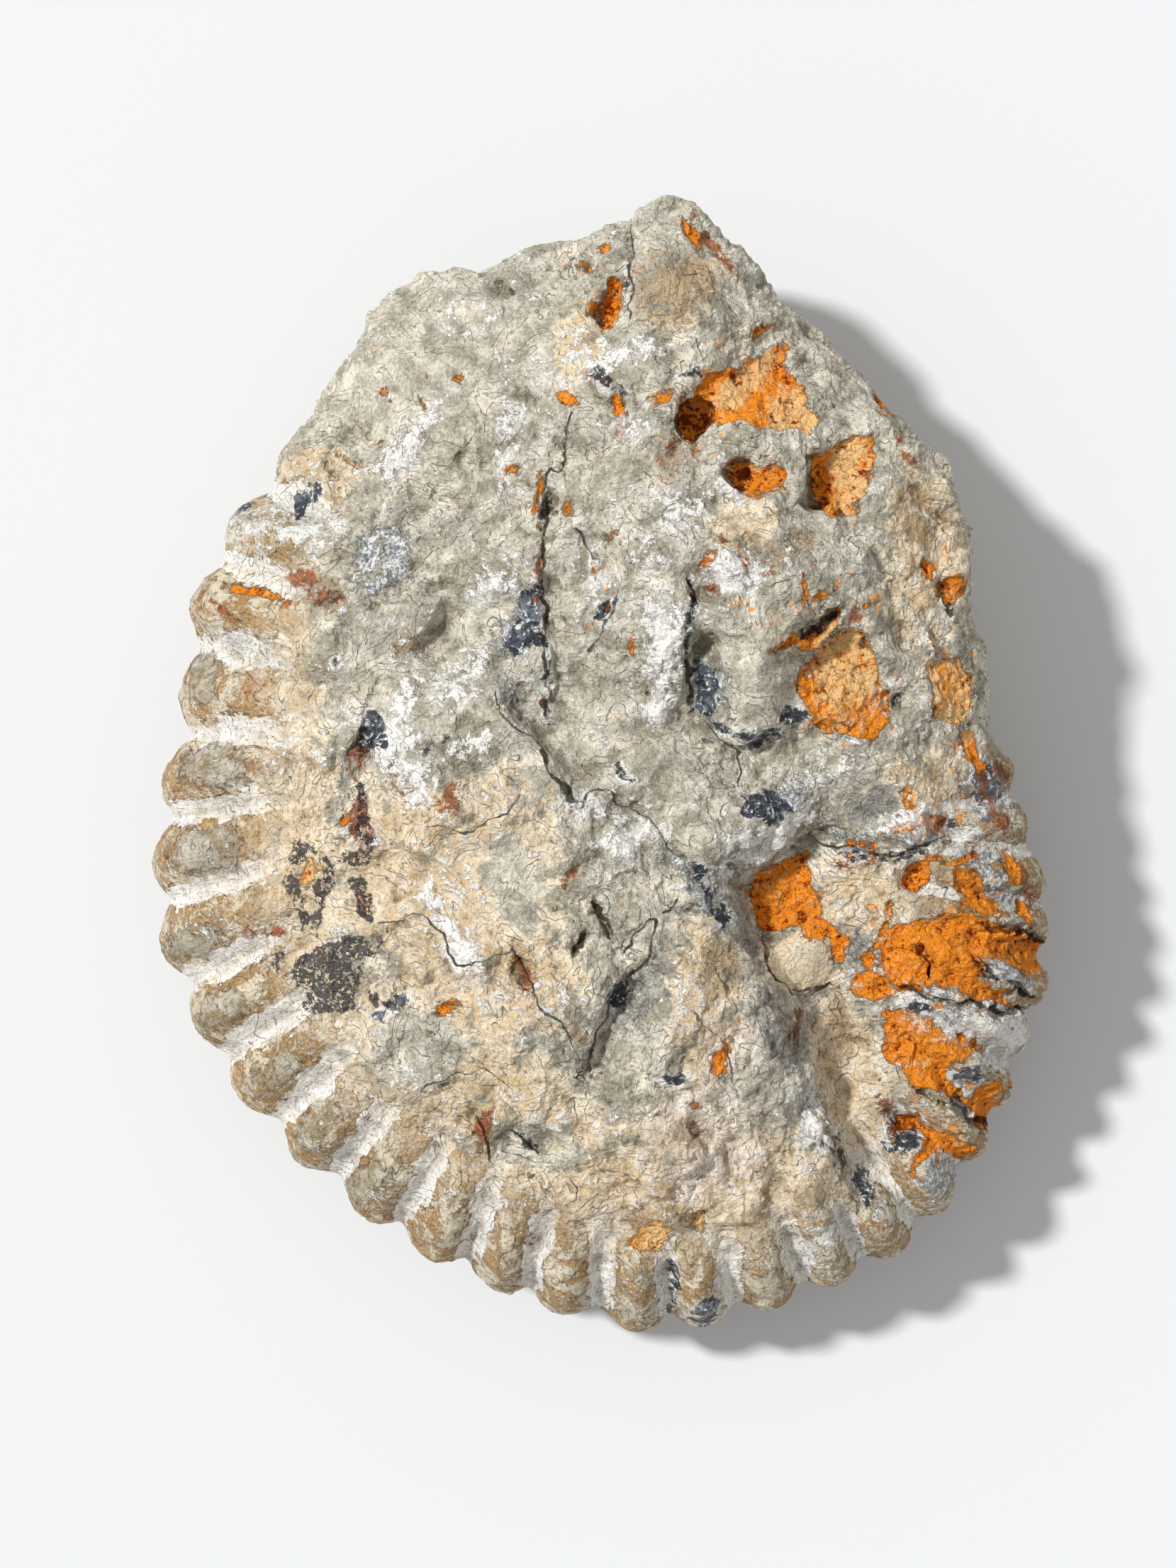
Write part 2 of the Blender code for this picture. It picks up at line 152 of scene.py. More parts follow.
def ribs(x, y):
    """How many ribs lie before each point, how far it is from the edge and how ribbed it is."""
    tips = np.array(RIB_TIPS).T
    number = np.interp(fan_bearing(x, y), fan_bearing(*tips), np.arange(len(RIB_TIPS)))
    along = rib_bearing(x, y)
    inset = np.interp(along, rib_bearing(*tips), np.hypot(*tips)) - np.hypot(x, y)
    reach = np.interp(along, *zip(*RIB_REACH))
    ribbed = bend(along, *RIBS_START) * (1.0 - bend(along, *RIBS_END))
    return number, inset, ribbed * (1.0 - bend(inset, reach - RIB_FADE, reach + RIB_FADE))


# Ledges and steps. The rock broke along old cracks, so the upper flank has sharp little cliffs.
# Each list runs with its low side on the right: height of the cliff, how far the low side runs.
LEDGE_FACE = 0.4
LEDGE_WANDER, LEDGE_WANDER_SIZE, LEDGE_SEED = 0.8, 3.0, 4.0
UPPER_FLANK = (0.1, 0.5)
LINE_END = 0.15
LEDGES = [
    (1.1, 5.0, (29, -50), (26.5, -45), (23.5, -38), (20.6, -31), (18, -25), (14.8, -19), (11, -14),
     (8, -9)),
    (0.8, 4.0, (-2.4, -4.4), (-5.4, 1), (-8, 4), (-10.6, 7), (-11.2, 10)),
    (0.8, 3.0, (9.6, 3), (8.9, 10), (9.2, 15), (9.8, 22)),
    (0.9, 3.0, (9.6, 9), (10.4, 6.2), (12.4, 4.6), (16.4, 3.2), (21.9, 5.8)),
    (0.9, 5.0, (17.3, 12.4), (19.4, 13.5), (21.9, 14.5), (23.8, 16.2), (25.4, 17.1)),
    (0.9, 4.0, (-2.6, -34.5), (-1.6, -30), (-0.6, -27), (1.6, -22.5), (7, -19)),
    (0.6, 4.0, (-6.0, 3), (-5.2, 9), (-6.2, 15), (-6.6, 21), (-6.4, 26), (-4.4, 31)),
    (0.8, 4.0, (-20.4, 12.2), (-18.4, 15.6), (-16.8, 18.6)),
    (0.7, 3.0, (3.4, 58), (3.6, 52), (3, 47.5)),
    (0.7, 2.5, (36, -9), (29, -8.6), (24, -7), (21.5, -5.5)),
    (0.5, 3.0, (12, -11.5), (17, -8.6), (22, -5)),
    (0.35, 4.0, (-23.3, -16.3), (-19.2, -15.4), (-17, -17.6), (-14.7, -21.2), (-12, -20.5)),
    (0.5, 3.0, (-9, -18.5), (-6.5, -25), (-3.5, -28), (-2, -33)),
    (0.6, 2.0, (-28.8, 14), (-27.6, 5), (-27.8, -2), (-25.2, 6), (-22.4, 12)),
    (0.5, 3.0, (-21, 26), (-17, 30), (-14, 36)),
    (0.5, 3.0, (15.5, 27), (20, 25), (24, 21)),
    (0.5, 2.5, (29.5, 24), (31.5, 18), (32.5, 12)),
    (0.4, 3.0, (-12, -36.5), (-5, -38), (-1.5, -41), (-7, -42.8), (-12.6, -42.4)),
]


def from_line(x, y, line):
    """Distance from a line, negative on its left, and how far along it each point is, 0 to 1."""
    line = np.array(line, float)
    lengths = np.hypot(*np.diff(line, axis=0).T)
    starts = np.concatenate([[0.0], np.cumsum(lengths)])
    nearest = np.full(x.shape, np.inf)
    side = np.zeros(x.shape)
    run = np.zeros(x.shape)
    for (ax, ay), (bx, by), length, start in zip(line, line[1:], lengths, starts):
        dx, dy = (bx - ax) / length, (by - ay) / length
        travel = np.clip((x - ax) * dx + (y - ay) * dy, 0.0, length)
        off_x, off_y = x - ax - travel * dx, y - ay - travel * dy
        distance = np.hypot(off_x, off_y)
        closer = distance < nearest
        nearest = np.where(closer, distance, nearest)
        side = np.where(closer, np.sign(off_x * dy - off_y * dx), side)
        run = np.where(closer, start + travel, run)
    return nearest * side, run / starts[-1]


def fades_out(run):
    """1 along the middle of a line and 0 at its ends."""
    return bend(run, 0.0, LINE_END) * bend(1.0 - run, 0.0, LINE_END)


def unevenness(points, size, seed=0.0, depth=4):
    """Rough rock, about -1 to 1, with lumps of a size in millimetres and finer ones on them."""
    shift = Vector((seed, 2.0 * seed, -seed))
    return np.array([noise.fractal(Vector(p) / size + shift, 1.0, 2.0, depth)
                     for p in points.tolist()])


points = places(stone.data)
facing = outward(stone.data)
x, y = seen_from_above(points)
wander = LEDGE_WANDER * unevenness(points, LEDGE_WANDER_SIZE, LEDGE_SEED)
upper = bend(facing[:, 2], *UPPER_FLANK)
for height, run_out, *line in LEDGES:
    side, run = from_line(x, y, line)
    side = side + wander
    low = bend(side, 0.0, LEDGE_FACE) * np.exp(-np.maximum(side, 0.0) / run_out)
    points[:, 2] -= height * low * fades_out(run) * upper
carve(stone.data, points)

# Chips, flakes and grain. Marl splits into flat chips, and thin layers flake off them with crisp
# edges. The upper left and the low ridge beside the ribs are worn smooth, and the ribs nearly so.
CALM_PLACES = [
    (-19, 43, 12, 8, 20), (-28, 7, 4, 14, 90), (0, 3, 8, 5, 0), (-16, 15, 6, 3, 15), (-3, 44, 8, 4, 0),
    (16, 10, 5, 5, 0), (28, -4, 4, 3, 0), (21, -20, 4, 3, -20), (-12, -12, 8, 6, 0),
]
# Size of each kind of chip, how much it leans, and its seed
CHIPS = [(6.5, 0.09, 20), (2.8, 0.05, 21)]
CHIP_SEAM = 0.2
# Size of each kind of flake and grain, its height, and its seed
FLAKES = [(9.0, 0.45, 3.0), (3.2, 0.22, 8.0)]
GRAINS = [(2.2, 0.05, 0.0), (0.9, 0.06, 7.0)]
FLAKE_LAYERS, FLAKE_EDGE, FLAKE_STRETCH = 3.0, 0.12, 2.0
CALM_SHARE, RIB_CALM_SHARE = 0.80, 0.60
FOOT_FADE = 1.5


def oval(x, y, row):
    """Millimetres inside the edge of an oval: x, y, long radius, short radius, bearing."""
    centre_x, centre_y, long_radius, short_radius, bearing = row
    turn = math.radians(bearing)
    dx, dy = x - centre_x, y - centre_y
    u = (dx * math.cos(turn) + dy * math.sin(turn)) / long_radius
    v = (dy * math.cos(turn) - dx * math.sin(turn)) / short_radius
    return (1.0 - np.hypot(u, v)) * min(long_radius, short_radius)


def soft_ovals(x, y, rows):
    """1 in the middle of any of some ovals, fading to 0 half their radius outside them."""
    return np.max([bend(oval(x, y, row) / min(row[2:4]), -0.5, 0.5) for row in rows], axis=0)


def chips(points, size, lean, seed):
    """Height of flat chips of a size over the surface, each with its own lean."""
    random = np.random.default_rng(seed)
    count = int(len(points) * (CARVING_GRID / size) ** 2)
    middles = points[random.choice(len(points), count, replace=False)]
    leans = random.normal(0.0, lean, (count, 3))
    tree = kdtree.KDTree(count)
    for index, middle in enumerate(middles):
        tree.insert(middle, index)
    tree.balance()
    near = [tree.find_n(p, 2) for p in points.tolist()]
    first = np.array([n[0][1] for n in near])
    second = np.array([n[1][1] for n in near])
    gap = np.array([n[1][2] - n[0][2] for n in near])
    own = 0.5 + 0.5 * bend(gap, 0.0, CHIP_SEAM * size)
    lift = [((points - middles[i]) * leans[i]).sum(axis=1) for i in (first, second)]
    return own * lift[0] + (1.0 - own) * lift[1]


def flakes(points, size, seed):
    """Height of layers that have flaked off, in steps with crisp edges, about -1 to 1."""
    level = FLAKE_LAYERS * unevenness(points, size, seed, 5)
    return (np.floor(level) + bend(level % 1.0, 0.0, FLAKE_EDGE)) / FLAKE_LAYERS * FLAKE_STRETCH


points = places(stone.data)
facing = outward(stone.data)
x, y = seen_from_above(points)
calm = np.maximum(CALM_SHARE * soft_ovals(x, y, CALM_PLACES) * upper, RIB_CALM_SHARE * ribs(x, y)[2])
relief = np.zeros(len(points))
for size, lean, seed in CHIPS:
    relief += chips(points, size, lean, seed)
for size, height, seed in FLAKES:
    relief += height * flakes(points, size, seed)
for size, height, seed in GRAINS:
    relief += height * unevenness(points, size, seed)
relief *= (1.0 - calm) * bend(points[:, 2], 0.0, FOOT_FADE)
points += facing * relief[:, None]
points[:, 2] = np.maximum(points[:, 2], 0.0)
carve(stone.data, points)

# Ochre. Nodules of iron mineral have rusted to a crumbly orange powder and partly fallen out, which
# left hollows with sharp rims and grainy beds. Patches are outlines, ovals are spots, and lines are
# seams, each a half width and the points that it follows.
OCHRE = {
    "patches": [
        [(15.3, -13.1), (16.9, -10.5), (19.8, -9.3), (22.0, -8.6), (22.5, -11.0), (23.6, -15.5),
         (26.1, -17.8), (26.0, -20.4), (24.9, -21.0), (23.7, -17.9), (19.8, -17.3), (17.8, -17.2),
         (16.7, -15.5)],
        [(29.1, -16.8), (31.4, -15.8), (34.2, -16.0), (37.7, -14.9), (40.8, -16.2), (44.0, -16.9),
         (46.8, -18.3), (47.2, -20.4), (45.5, -22.0), (40.8, -19.9), (40.3, -22.0), (42.9, -23.6),
         (44.5, -25.2), (40.8, -24.6), (36.1, -23.6), (33.5, -22.8), (31.4, -23.1), (30.0, -21.0)],
        [(37.7, -10.5), (40.3, -10.7), (40.8, -13.1), (43.2, -15.7), (40.8, -15.7), (38.2, -14.7)],
        [(30.3, -25.2), (33.5, -25.7), (35.6, -27.3), (39.8, -28.3), (40.3, -29.9), (37.7, -30.9),
         (36.6, -32.0), (38.7, -34.1), (40.8, -36.2), (41.6, -37.2), (39.8, -36.7), (37.7, -35.1),
         (33.5, -33.6), (30.8, -31.5), (29.5, -28.8)],
        [(40.3, -33.6), (42.4, -32.5), (43.2, -33.6), (41.6, -36.7), (40.8, -38.3), (39.2, -36.2)],
        [(30.8, -36.2), (33.5, -36.5), (35.0, -37.8), (38.2, -38.8), (39.8, -40.4), (38.2, -41.4),
         (36.1, -39.9), (34.5, -40.9), (34.0, -43.5), (33.2, -43.5), (33.5, -40.4), (34.5, -38.8),
         (32.4, -37.8), (30.3, -39.3)],
        [(27.4, -21.0), (29.3, -20.7), (31.4, -23.1), (30.3, -24.1), (28.7, -24.1), (27.4, -23.1)],
        [(8.0, 37.0), (9.2, 39.8), (12.0, 42.0), (15.4, 43.2), (18.4, 44.6), (19.8, 45.0), (20.3, 42.4),
         (21.4, 39.6), (22.8, 37.3), (22.6, 35.5), (19.4, 35.6), (15.9, 36.3),
         (13.2, 36.9), (11.2, 36.0), (10.0, 34.2), (8.7, 34.8)],
        [(12.7, 31.8), (14.2, 32.8), (16.9, 32.5), (18.9, 32.1), (20.4, 31.8), (19.9, 30.3),
         (17.9, 29.4), (16.4, 28.9), (14.4, 29.9)],
        [(21.8, 31.1), (22.4, 32.8), (24.3, 34.1), (26.8, 35.3), (28.8, 35.0), (29.0, 31.6),
         (28.0, 28.9), (26.3, 26.6), (24.8, 26.4), (22.8, 27.6)],
        [(21.6, 10.3), (23.3, 12.8), (25.8, 15.3), (28.3, 14.3), (29.5, 10.8), (30.3, 7.8), (30.3, 5.4),
         (28.8, 2.9), (26.3, 3.6), (23.8, 3.4), (22.4, 5.8)],
        [(17.3, 12.4), (19.4, 13.5), (21.9, 14.5), (23.8, 16.2), (25.4, 17.1), (25.1, 15.3),
         (23.3, 13.0), (22.1, 12.5), (19.4, 12.5)],
        [(34.2, 10.8), (36.7, 12.0), (38.7, 11.5), (39.4, 8.8), (38.9, 5.8), (37.2, 4.9), (35.2, 5.4)],
        [(-1.1, 48.1), (0.0, 49.9), (1.2, 51.8), (2.6, 52.0), (2.4, 49.2), (1.7, 46.9), (0.3, 46.2)],
        [(8.4, 58.4), (9.6, 57.8), (10.8, 56.2), (10.6, 54.6), (9.2, 56.2)],
    ],
    "ovals": [
        (33.4, -11.3, 2.0, 1.6, 50), (35.0, -5.2, 1.7, 1.2, 20), (32.4, -2.9, 1.4, 0.5, 95),
        (32.1, -6.3, 1.6, 0.6, 20), (27.6, -7.6, 1.2, 0.3, -20), (28.0, -22.6, 1.5, 1.2, 0),
        (37.2, 19.2, 1.6, 1.2, 10), (21.6, 19.7, 1.8, 0.4, 85), (23.3, 18.2, 1.6, 0.5, 25),
        (20.1, 17.5, 0.6, 0.4, 0), (18.1, 20.7, 0.5, 0.3, 60), (11.0, 22.4, 1.5, 0.5, 60),
        (15.4, 21.6, 1.2, 0.5, 80), (12.2, 18.4, 1.2, 0.3, -30), (13.6, 24.4, 0.8, 0.3, 0),
        (-1.4, 53.4, 0.9, 0.55, -20), (0.5, 55.3, 0.5, 0.4, 0), (-4.1, 39.2, 1.3, 0.6, -35),
        (2.3, 39.0, 1.4, 0.6, 95), (7.0, 39.2, 1.5, 0.5, 10), (-14.9, 41.3, 0.8, 0.4, 20),
        (-18.6, 41.8, 0.4, 0.3, 0), (-18.8, 38.3, 0.8, 0.25, 95), (-22.5, 39.7, 0.5, 0.4, 0),
        (-23.7, 34.1, 0.6, 0.4, -30), (-9.3, 31.6, 0.75, 0.7, 0), (-3.2, 27.6, 0.7, 0.4, 60),
        (1.0, 25.1, 0.7, 0.4, 30), (-0.2, 21.3, 0.5, 0.4, 0), (-28.3, 31.6, 0.6, 0.4, 0),
        (3.6, 13.4, 0.9, 0.35, 95), (4.6, 8.6, 0.5, 0.35, 0), (1.5, 17.0, 0.5, 0.25, 60),
        (-27.4, -5.4, 0.8, 0.5, 60), (-36.4, 18.8, 3.2, 0.6, -14), (34.5, 21.5, 1.6, 0.8, 90),
        (43.4, -10.6, 1.8, 0.8, -60), (45.0, -15.0, 1.6, 0.8, -60), (39.4, 1.8, 2.4, 1.0, -70),
        (12.6, -31.0, 2.2, 0.9, 60), (5.2, -49.4, 2.2, 1.5, 20), (10.3, -47.6, 1.2, 0.7, 20),
        (-16.1, -25.7, 1.4, 0.5, 30), (16.4, 46.2, 1.4, 0.4, 20), (30.0, 38.4, 1.6, 0.5, -50),
        (-30.6, -11.4, 1.8, 0.7, 80), (9.5, -35.5, 0.6, 0.4, 0), (28.6, 17.4, 0.6, 0.4, 0),
    ],
    "lines": [
        (0.3, (-28.8, 33.9), (-26.6, 32.4), (-24.6, 31.1)),
        (0.35, (22.4, 6.0), (21.4, 9.0), (22.4, 12.0)),
        (0.4, (30, -24), (28.4, -20), (31, -13)),
        (0.35, (34, -9), (37, -9.6), (40.4, -9)),
        (0.32, (-6.2, 31.4), (-6.6, 28.6), (-6.9, 26.0)),
    ],
}
OCHRE_FLANK = (0.0, 0.3)
OCHRE_SUNK, OCHRE_RIM = 0.45, (-0.1, 0.5)
# Ends of the hollows that go deeper still: an oval and its depth
DEEP_ENDS = [
    (10.0, 37.0, 2.8, 1.8, 60, 1.5), (15.2, 31.4, 2.8, 1.7, -12, 1.3), (23.4, 30.2, 3.6, 1.9, 75, 1.6),
    (0.6, 48.6, 2.4, 1.0, 72, 0.8),
]
DEEP_END_SLOPE = 1.2
# Size of each kind of gravel, its height, and its seed
OCHRE_GRAVEL = [(1.5, 0.30, 30.0), (0.9, 0.30, 31.0)]
GRAVEL_FROM = (0.2, 0.8)
# Size of the bends in an edge, and how far they reach
MARK_WANDER = [(3.4, 0.8), (1.5, 0.5)]
STREAK_TIP = 0.3


def patch(x, y, corners):
    """Millimetres inside the edge of a patch, which is given as the corners of its outline."""
    distance = np.abs(from_line(x, y, [*corners, corners[0]])[0])
    inside = np.zeros(x.shape, bool)
    for (ax, ay), (bx, by) in zip(corners, [*corners[1:], corners[0]]):
        crosses = (ay > y) != (by > y)
        inside ^= crosses & (x < ax + (y - ay) * (bx - ax) / ((by - ay) or 1.0))
    return np.where(inside, distance, -distance)


def streak(x, y, row):
    """Millimetres inside a streak: its half width and the points that it follows."""
    half_width, *line = row
    side, run = from_line(x, y, line)
    return half_width * (STREAK_TIP + (1.0 - STREAK_TIP) * fades_out(run)) - np.abs(side)


def inside_marks(x, y, marks):
    """Millimetres inside the nearest of some marks, listed as patches, ovals and lines."""
    fields = [patch(x, y, corners) for corners in marks.get("patches", [])]
    fields += [oval(x, y, row) for row in marks.get("ovals", [])]
    fields += [streak(x, y, row) for row in marks.get("lines", [])]
    return np.max(fields, axis=0)


def wandering(points, steps, seed=60.0):
    """Where each point looks to be, moved about so that the marks read there get ragged edges."""
    x, y = seen_from_above(points)
    for size, far in steps:
        x = x + far * unevenness(points, size, seed)
        y = y + far * unevenness(points, size, seed + 3.0)
    return x, y


points = places(stone.data)
facing = outward(stone.data)
upper = bend(facing[:, 2], *OCHRE_FLANK)
x, y = wandering(points, MARK_WANDER)
bed = inside_marks(x, y, OCHRE)
relief = -OCHRE_SUNK * bend(bed, *OCHRE_RIM)
for *row, depth in DEEP_ENDS:
    relief -= depth * bend(oval(x, y, row), 0.0, DEEP_END_SLOPE)
for size, height, seed in OCHRE_GRAVEL:
    relief += height * unevenness(points, size, seed, 2) * bend(bed, *GRAVEL_FROM)
points += facing * (relief * upper)[:, None]
carve(stone.data, points)

# Cracks. Shrinkage cracks and the edges of broken shell run through the marl. Each is its half
# width and the line that it follows, and only the widest are cut into the mesh.
CRACK_DEPTH = 1.1
CRACK_WANDER = [(4.0, 0.9), (1.8, 0.5)]
CRACKS = [
    (0.15, (-5.2, 28.5), (-6.3, 24), (-6.4, 20), (-6, 14), (-5.6, 11), (-5.6, 6)),
    (0.17, (9.7, 20.2), (9.3, 15), (9.1, 10.0), (9.6, 7.4)),
    (0.11, (-11.4, 8.3), (-9.2, 4.9), (-6.3, 2.4)),
    (0.17, (-6.6, 2.8), (-4.6, -1.4), (-2.6, -3.9)),
    (0.09, (-2.5, -4), (0, -2.6), (3, -4), (6.2, -6), (9, -10)),
    (0.14, (-3.0, 25.6), (-1.4, 23.4), (-0.4, 22.0)),
    (0.17, (-1.4, 12.2), (0.2, 14.8), (1.6, 18.4)),
    (0.07, (2, -19), (8, -15)),
    (0.08, (-23.3, -16.3), (-19.2, -15.4), (-17, -17.6), (-14.7, -21.2), (-12.5, -20.8), (-9, -18.5),
     (-6.5, -25), (-3.5, -28), (-2, -33)),
    (0.06, (-17.9, -5.9), (-14.3, -7), (-9.8, -4.1), (-8, -2.3)),
    (0.09, (11.0, 5.2), (14.2, 2.4), (14.5, -2.2)),
    (0.07, (-5.4, 29.5), (-4.2, 33), (-3.4, 38)),
    (0.34, (21.5, 13.6), (24, 15.4), (25.6, 17.2)),
    (0.24, (44.8, -25.5), (40, -25), (36, -24.4), (31, -23.6)),
    (0.22, (40.4, -20), (43, -22.4), (46, -24)),
    (0.26, (33.4, -33.8), (37.7, -35.4), (41, -38)),
    (0.22, (34, -18.6), (34.6, -21.5), (34.4, -23)),
    (0.30, (40.6, -15.9), (44, -17.2), (47.2, -18)),
    (0.12, (22, -6), (25, -8.4), (31.3, -9.1), (36.6, -6.9)),
    (0.14, (17.4, -17.6), (17.5, -19.6), (18.4, -22.2), (21.4, -24.3), (24.4, -22.6)),
    (0.12, (-13, -36), (-12, -38.5), (-11.5, -41)),
    (0.12, (-9.5, -38.5), (-8, -39.5), (-6, -40.5)),
    (0.24, (-2.3, -19.4), (-1.2, -16.5)),
    (0.24, (-0.6, -14.4), (0.9, -17.6)),
    (0.12, (8.6, -13.0), (7.0, -16.1), (3.0, -22.1), (-0.2, -27.0), (-1.6, -32.4)),
    (0.10, (3, 47.5), (3.6, 52), (3.4, 58)),
    (0.10, (7.5, -52), (8.2, -55), (7.6, -58)),
    (0.06, (-18.6, -34.6), (-16, -32), (-12.4, -31.4), (-9.6, -33.6)),
    (0.06, (10, -25.4), (13.4, -29), (14.6, -34)),
]
WIDE_CRACK, CUT_WIDER, CUT_SLOPE = 0.19, 0.15, 0.3

points = places(stone.data)
facing = outward(stone.data)
x, y = wandering(points, CRACK_WANDER)
wide = [(half_width + CUT_WIDER, *line) for half_width, *line in CRACKS if half_width > WIDE_CRACK]
gap = np.max([streak(x, y, row) for row in wide], axis=0)
points -= facing * (CRACK_DEPTH * bend(gap, -CUT_SLOPE, CUT_SLOPE) * upper)[:, None]
carve(stone.data, points)

# The grid is thinned to what one piece may have
TRIANGLES_KEPT = 195000
share = TRIANGLES_KEPT / (2.0 * len(stone.data.polygons))
settle(stone, thin=("DECIMATE", {"ratio": min(1.0, share)}))

# Stains. Soot-black manganese, brown rust, slate-grey bands, blue-black shell with painted glints,
# crumpled silvery shell and chalk lie on the upper flank. Some slate, shell and soot marks are
# painted shade on the steep faces of steps, in a slot and under a lump. The mesh keeps how far
# inside each its points are.
# Blue-black shell. The lines along the cliff face at (10, -13) and under the lump at (15, 4) are also
# painted shade there
BLUE_SHELL_AND_SHADE = {
    "patches": [
        [(14.4, -4.4), (15.6, -2.6), (18.0, -2.0), (19.8, -3.0), (20.0, -4.6), (17.6, -5.4),
         (15.6, -5.2)],
        [(-6.4, 20.2), (-6.2, 16.4), (-6.0, 13.0), (-8.4, 12.6), (-10.4, 13.4), (-9.0, 16.0),
         (-8.2, 18.8)],
        [(-25.3, 3.1), (-24.6, 5.4), (-23.7, 6.3), (-22.4, 4.5), (-22.6, 2.2), (-24.2, 2.4),
         (-25.5, 0.9)],
    ],
    "ovals": [
        (11.2, 8.3, 3.2, 1.3, 100), (20.6, 5.6, 1.8, 0.8, 15), (2.2, -24.0, 1.5, 0.9, 60),
        (40.8, -1.5, 2.2, 1.6, 100), (31.9, -38.8, 1.8, 1.5, 0), (37.6, -18.3, 1.0, 0.6, 30),
        (33.9, -25.2, 1.5, 0.7, -20), (39.2, -32.0, 1.6, 1.0, 30), (10.4, -10.8, 1.3, 0.8, -50),
        (13.2, -15.2, 1.2, 0.6, -60), (11.8, -13.0, 0.8, 0.6, 0),
        (9.8, 41.8, 1.2, 0.6, 20), (2.9, 51.0, 1.4, 0.35, 80), (0.8, 41.2, 1.6, 0.5, -20),
        (-31.0, 28.5, 1.9, 0.8, 60), (-38.0, 28.0, 1.4, 0.8, 0), (36.6, 17.6, 0.5, 1.0, 0),
        (2.6, -0.4, 0.9, 0.35, -40), (8.0, -33.0, 1.2, 0.7, 0), (11.2, -57.4, 1.6, 1.0, 20),
        (0.9, 16.6, 1.7, 0.6, 70),
        (-23.7, -26.2, 0.9, 0.6, 0), (-21.5, -24.8, 0.8, 0.5, 30), (28.4, -44.4, 2.4, 0.8, -65),
    ],
    "lines": [
        (0.32, (9.7, 20.2), (9.3, 15), (9.2, 10.3)),
        (0.35, (11.4, 5.6), (13.6, 3.9), (16.4, 3.1), (19.6, 4.4)),
        (0.34, (24, -7.6), (28, -9.0), (31.5, -9.3), (36.6, -7)),
        (0.30, (7.5, -52), (8.2, -55), (7.6, -58)),
        (0.25, (-6, 13), (-5.4, 9), (-5.6, 5)),
        (0.5, (9.8, -10.2), (11.4, -13), (13.8, -16.8)),
    ],
}
SILVER_SHELL = {
    "ovals": [(-23.2, 22.4, 4.0, 3.0, 60), (-8.6, 15.2, 3.0, 1.4, 50), (11.6, 8.0, 3.6, 1.7, 100),
              (41.4, -12.0, 3.6, 1.8, -60), (40.8, -1.8, 3.0, 2.4, 100), (36.0, -25.6, 1.6, 0.9, 0),
              (19.6, -3.2, 2.6, 1.4, 10)],
    "lines": [(0.6, (39.4, -20.6), (42.4, -21), (44.6, -22.6)), (0.9, (38, -33), (40.4, -31.6)),
              (1.2, (34.6, -43.6), (37.4, -42.6), (39.6, -42)),
              (0.6, (24.6, -6.4), (29, -7.8), (35.4, -7.2)),
              (0.7, (7.4, -8.4), (9.4, -11.4), (11.4, -15))],
}
# Slate-grey rock, laid in part over the steep faces of the steps, where it is painted shade
SLATE_AND_STEP_SHADE = {
    "patches": [[(7.6, -8.6), (11.0, -9.4), (13.8, -12.4), (15.8, -15.2), (17.4, -18.8), (15.8, -20.0),
                 (13.2, -18.0), (10.6, -14.8), (8.2, -12.0)]],
    "ovals": [(4.8, -23.4, 5, 2.2, 65), (18.8, -28.0, 5.4, 1.5, -62), (22.6, -36.6, 4.0, 1.0, -68),
              (29.6, -3.8, 3.0, 2.4, 20), (27.2, -18.6, 2.6, 1.4, -70), (-9.4, 8.0, 3.0, 1.4, 120)],
}
# Soot-black manganese; the ovals in the slot at (24, 14), on the cliff at (9, -15) and on the step at
# (25, -41) are painted shadow
SOOT_AND_SHADOW = {
    "patches": [
        [(-32.5, -20.3), (-29.6, -18.7), (-26.9, -18.1), (-24.6, -17.6), (-22.8, -17.8), (-23.3, -19.0),
         (-24.8, -20.3), (-24.6, -22.1), (-26.0, -23.5), (-26.4, -25.3), (-28.7, -25.9),
         (-30.5, -25.7), (-31.6, -23.5), (-32.7, -21.7)],
        [(-5.9, 30.0), (-4.8, 29.0), (-4.0, 26.8), (-5.6, 26.4), (-6.4, 26.6)],
    ],
    "ovals": [(-17.4, 2.7, 1.6, 0.45, 22), (-10.4, 51.4, 1.2, 0.4, -40), (31.2, 7.2, 0.7, 0.6, 30),
              (37.2, -5.7, 1.0, 0.7, -50), (-17.6, -28.2, 0.5, 0.4, 0), (-7.0, -43.0, 0.35, 0.35, 0),
              (-3.0, -43.3, 0.35, 0.35, 0), (-7.2, -39.6, 1.3, 0.4, -30), (-16.0, -33.4, 1.1, 0.35, 20),
              (24.3, 14.3, 1.2, 0.5, 50), (31.4, -37.0, 1.2, 0.6, 10), (-27.6, 11.4, 0.4, 0.3, 0),
              (9.2, -15.0, 1.0, 0.4, 40), (25.0, -40.6, 1.8, 0.5, -60)],
    "lines": [
        (0.75, (-25.9, -1.6), (-25.4, -3.6), (-25.0, -5.8), (-24.4, -8.6)),
        (0.90, (-27.6, -9.6), (-26.2, -9), (-24.6, -9.4), (-24.0, -8.2)),
        (0.70, (-26.4, -11.4), (-25.4, -12.6), (-24.8, -14.4), (-24.2, -16)),
        (0.54, (-32.5, -11.4), (-31.9, -9.4), (-30.9, -8.2), (-29.4, -8.8), (-28.7, -11.3),
         (-29.6, -13.6), (-30.2, -17.2)),
        (0.54, (-30.0, -17.6), (-31.2, -15.4), (-32.6, -12.8), (-32.4, -10.6)),
        (0.50, (-33.4, -19.6), (-34.4, -20.8), (-33.6, -22)),
        (0.45, (-24.4, -23.4), (-22.6, -24.6), (-21.2, -23.8)),
    ],
}
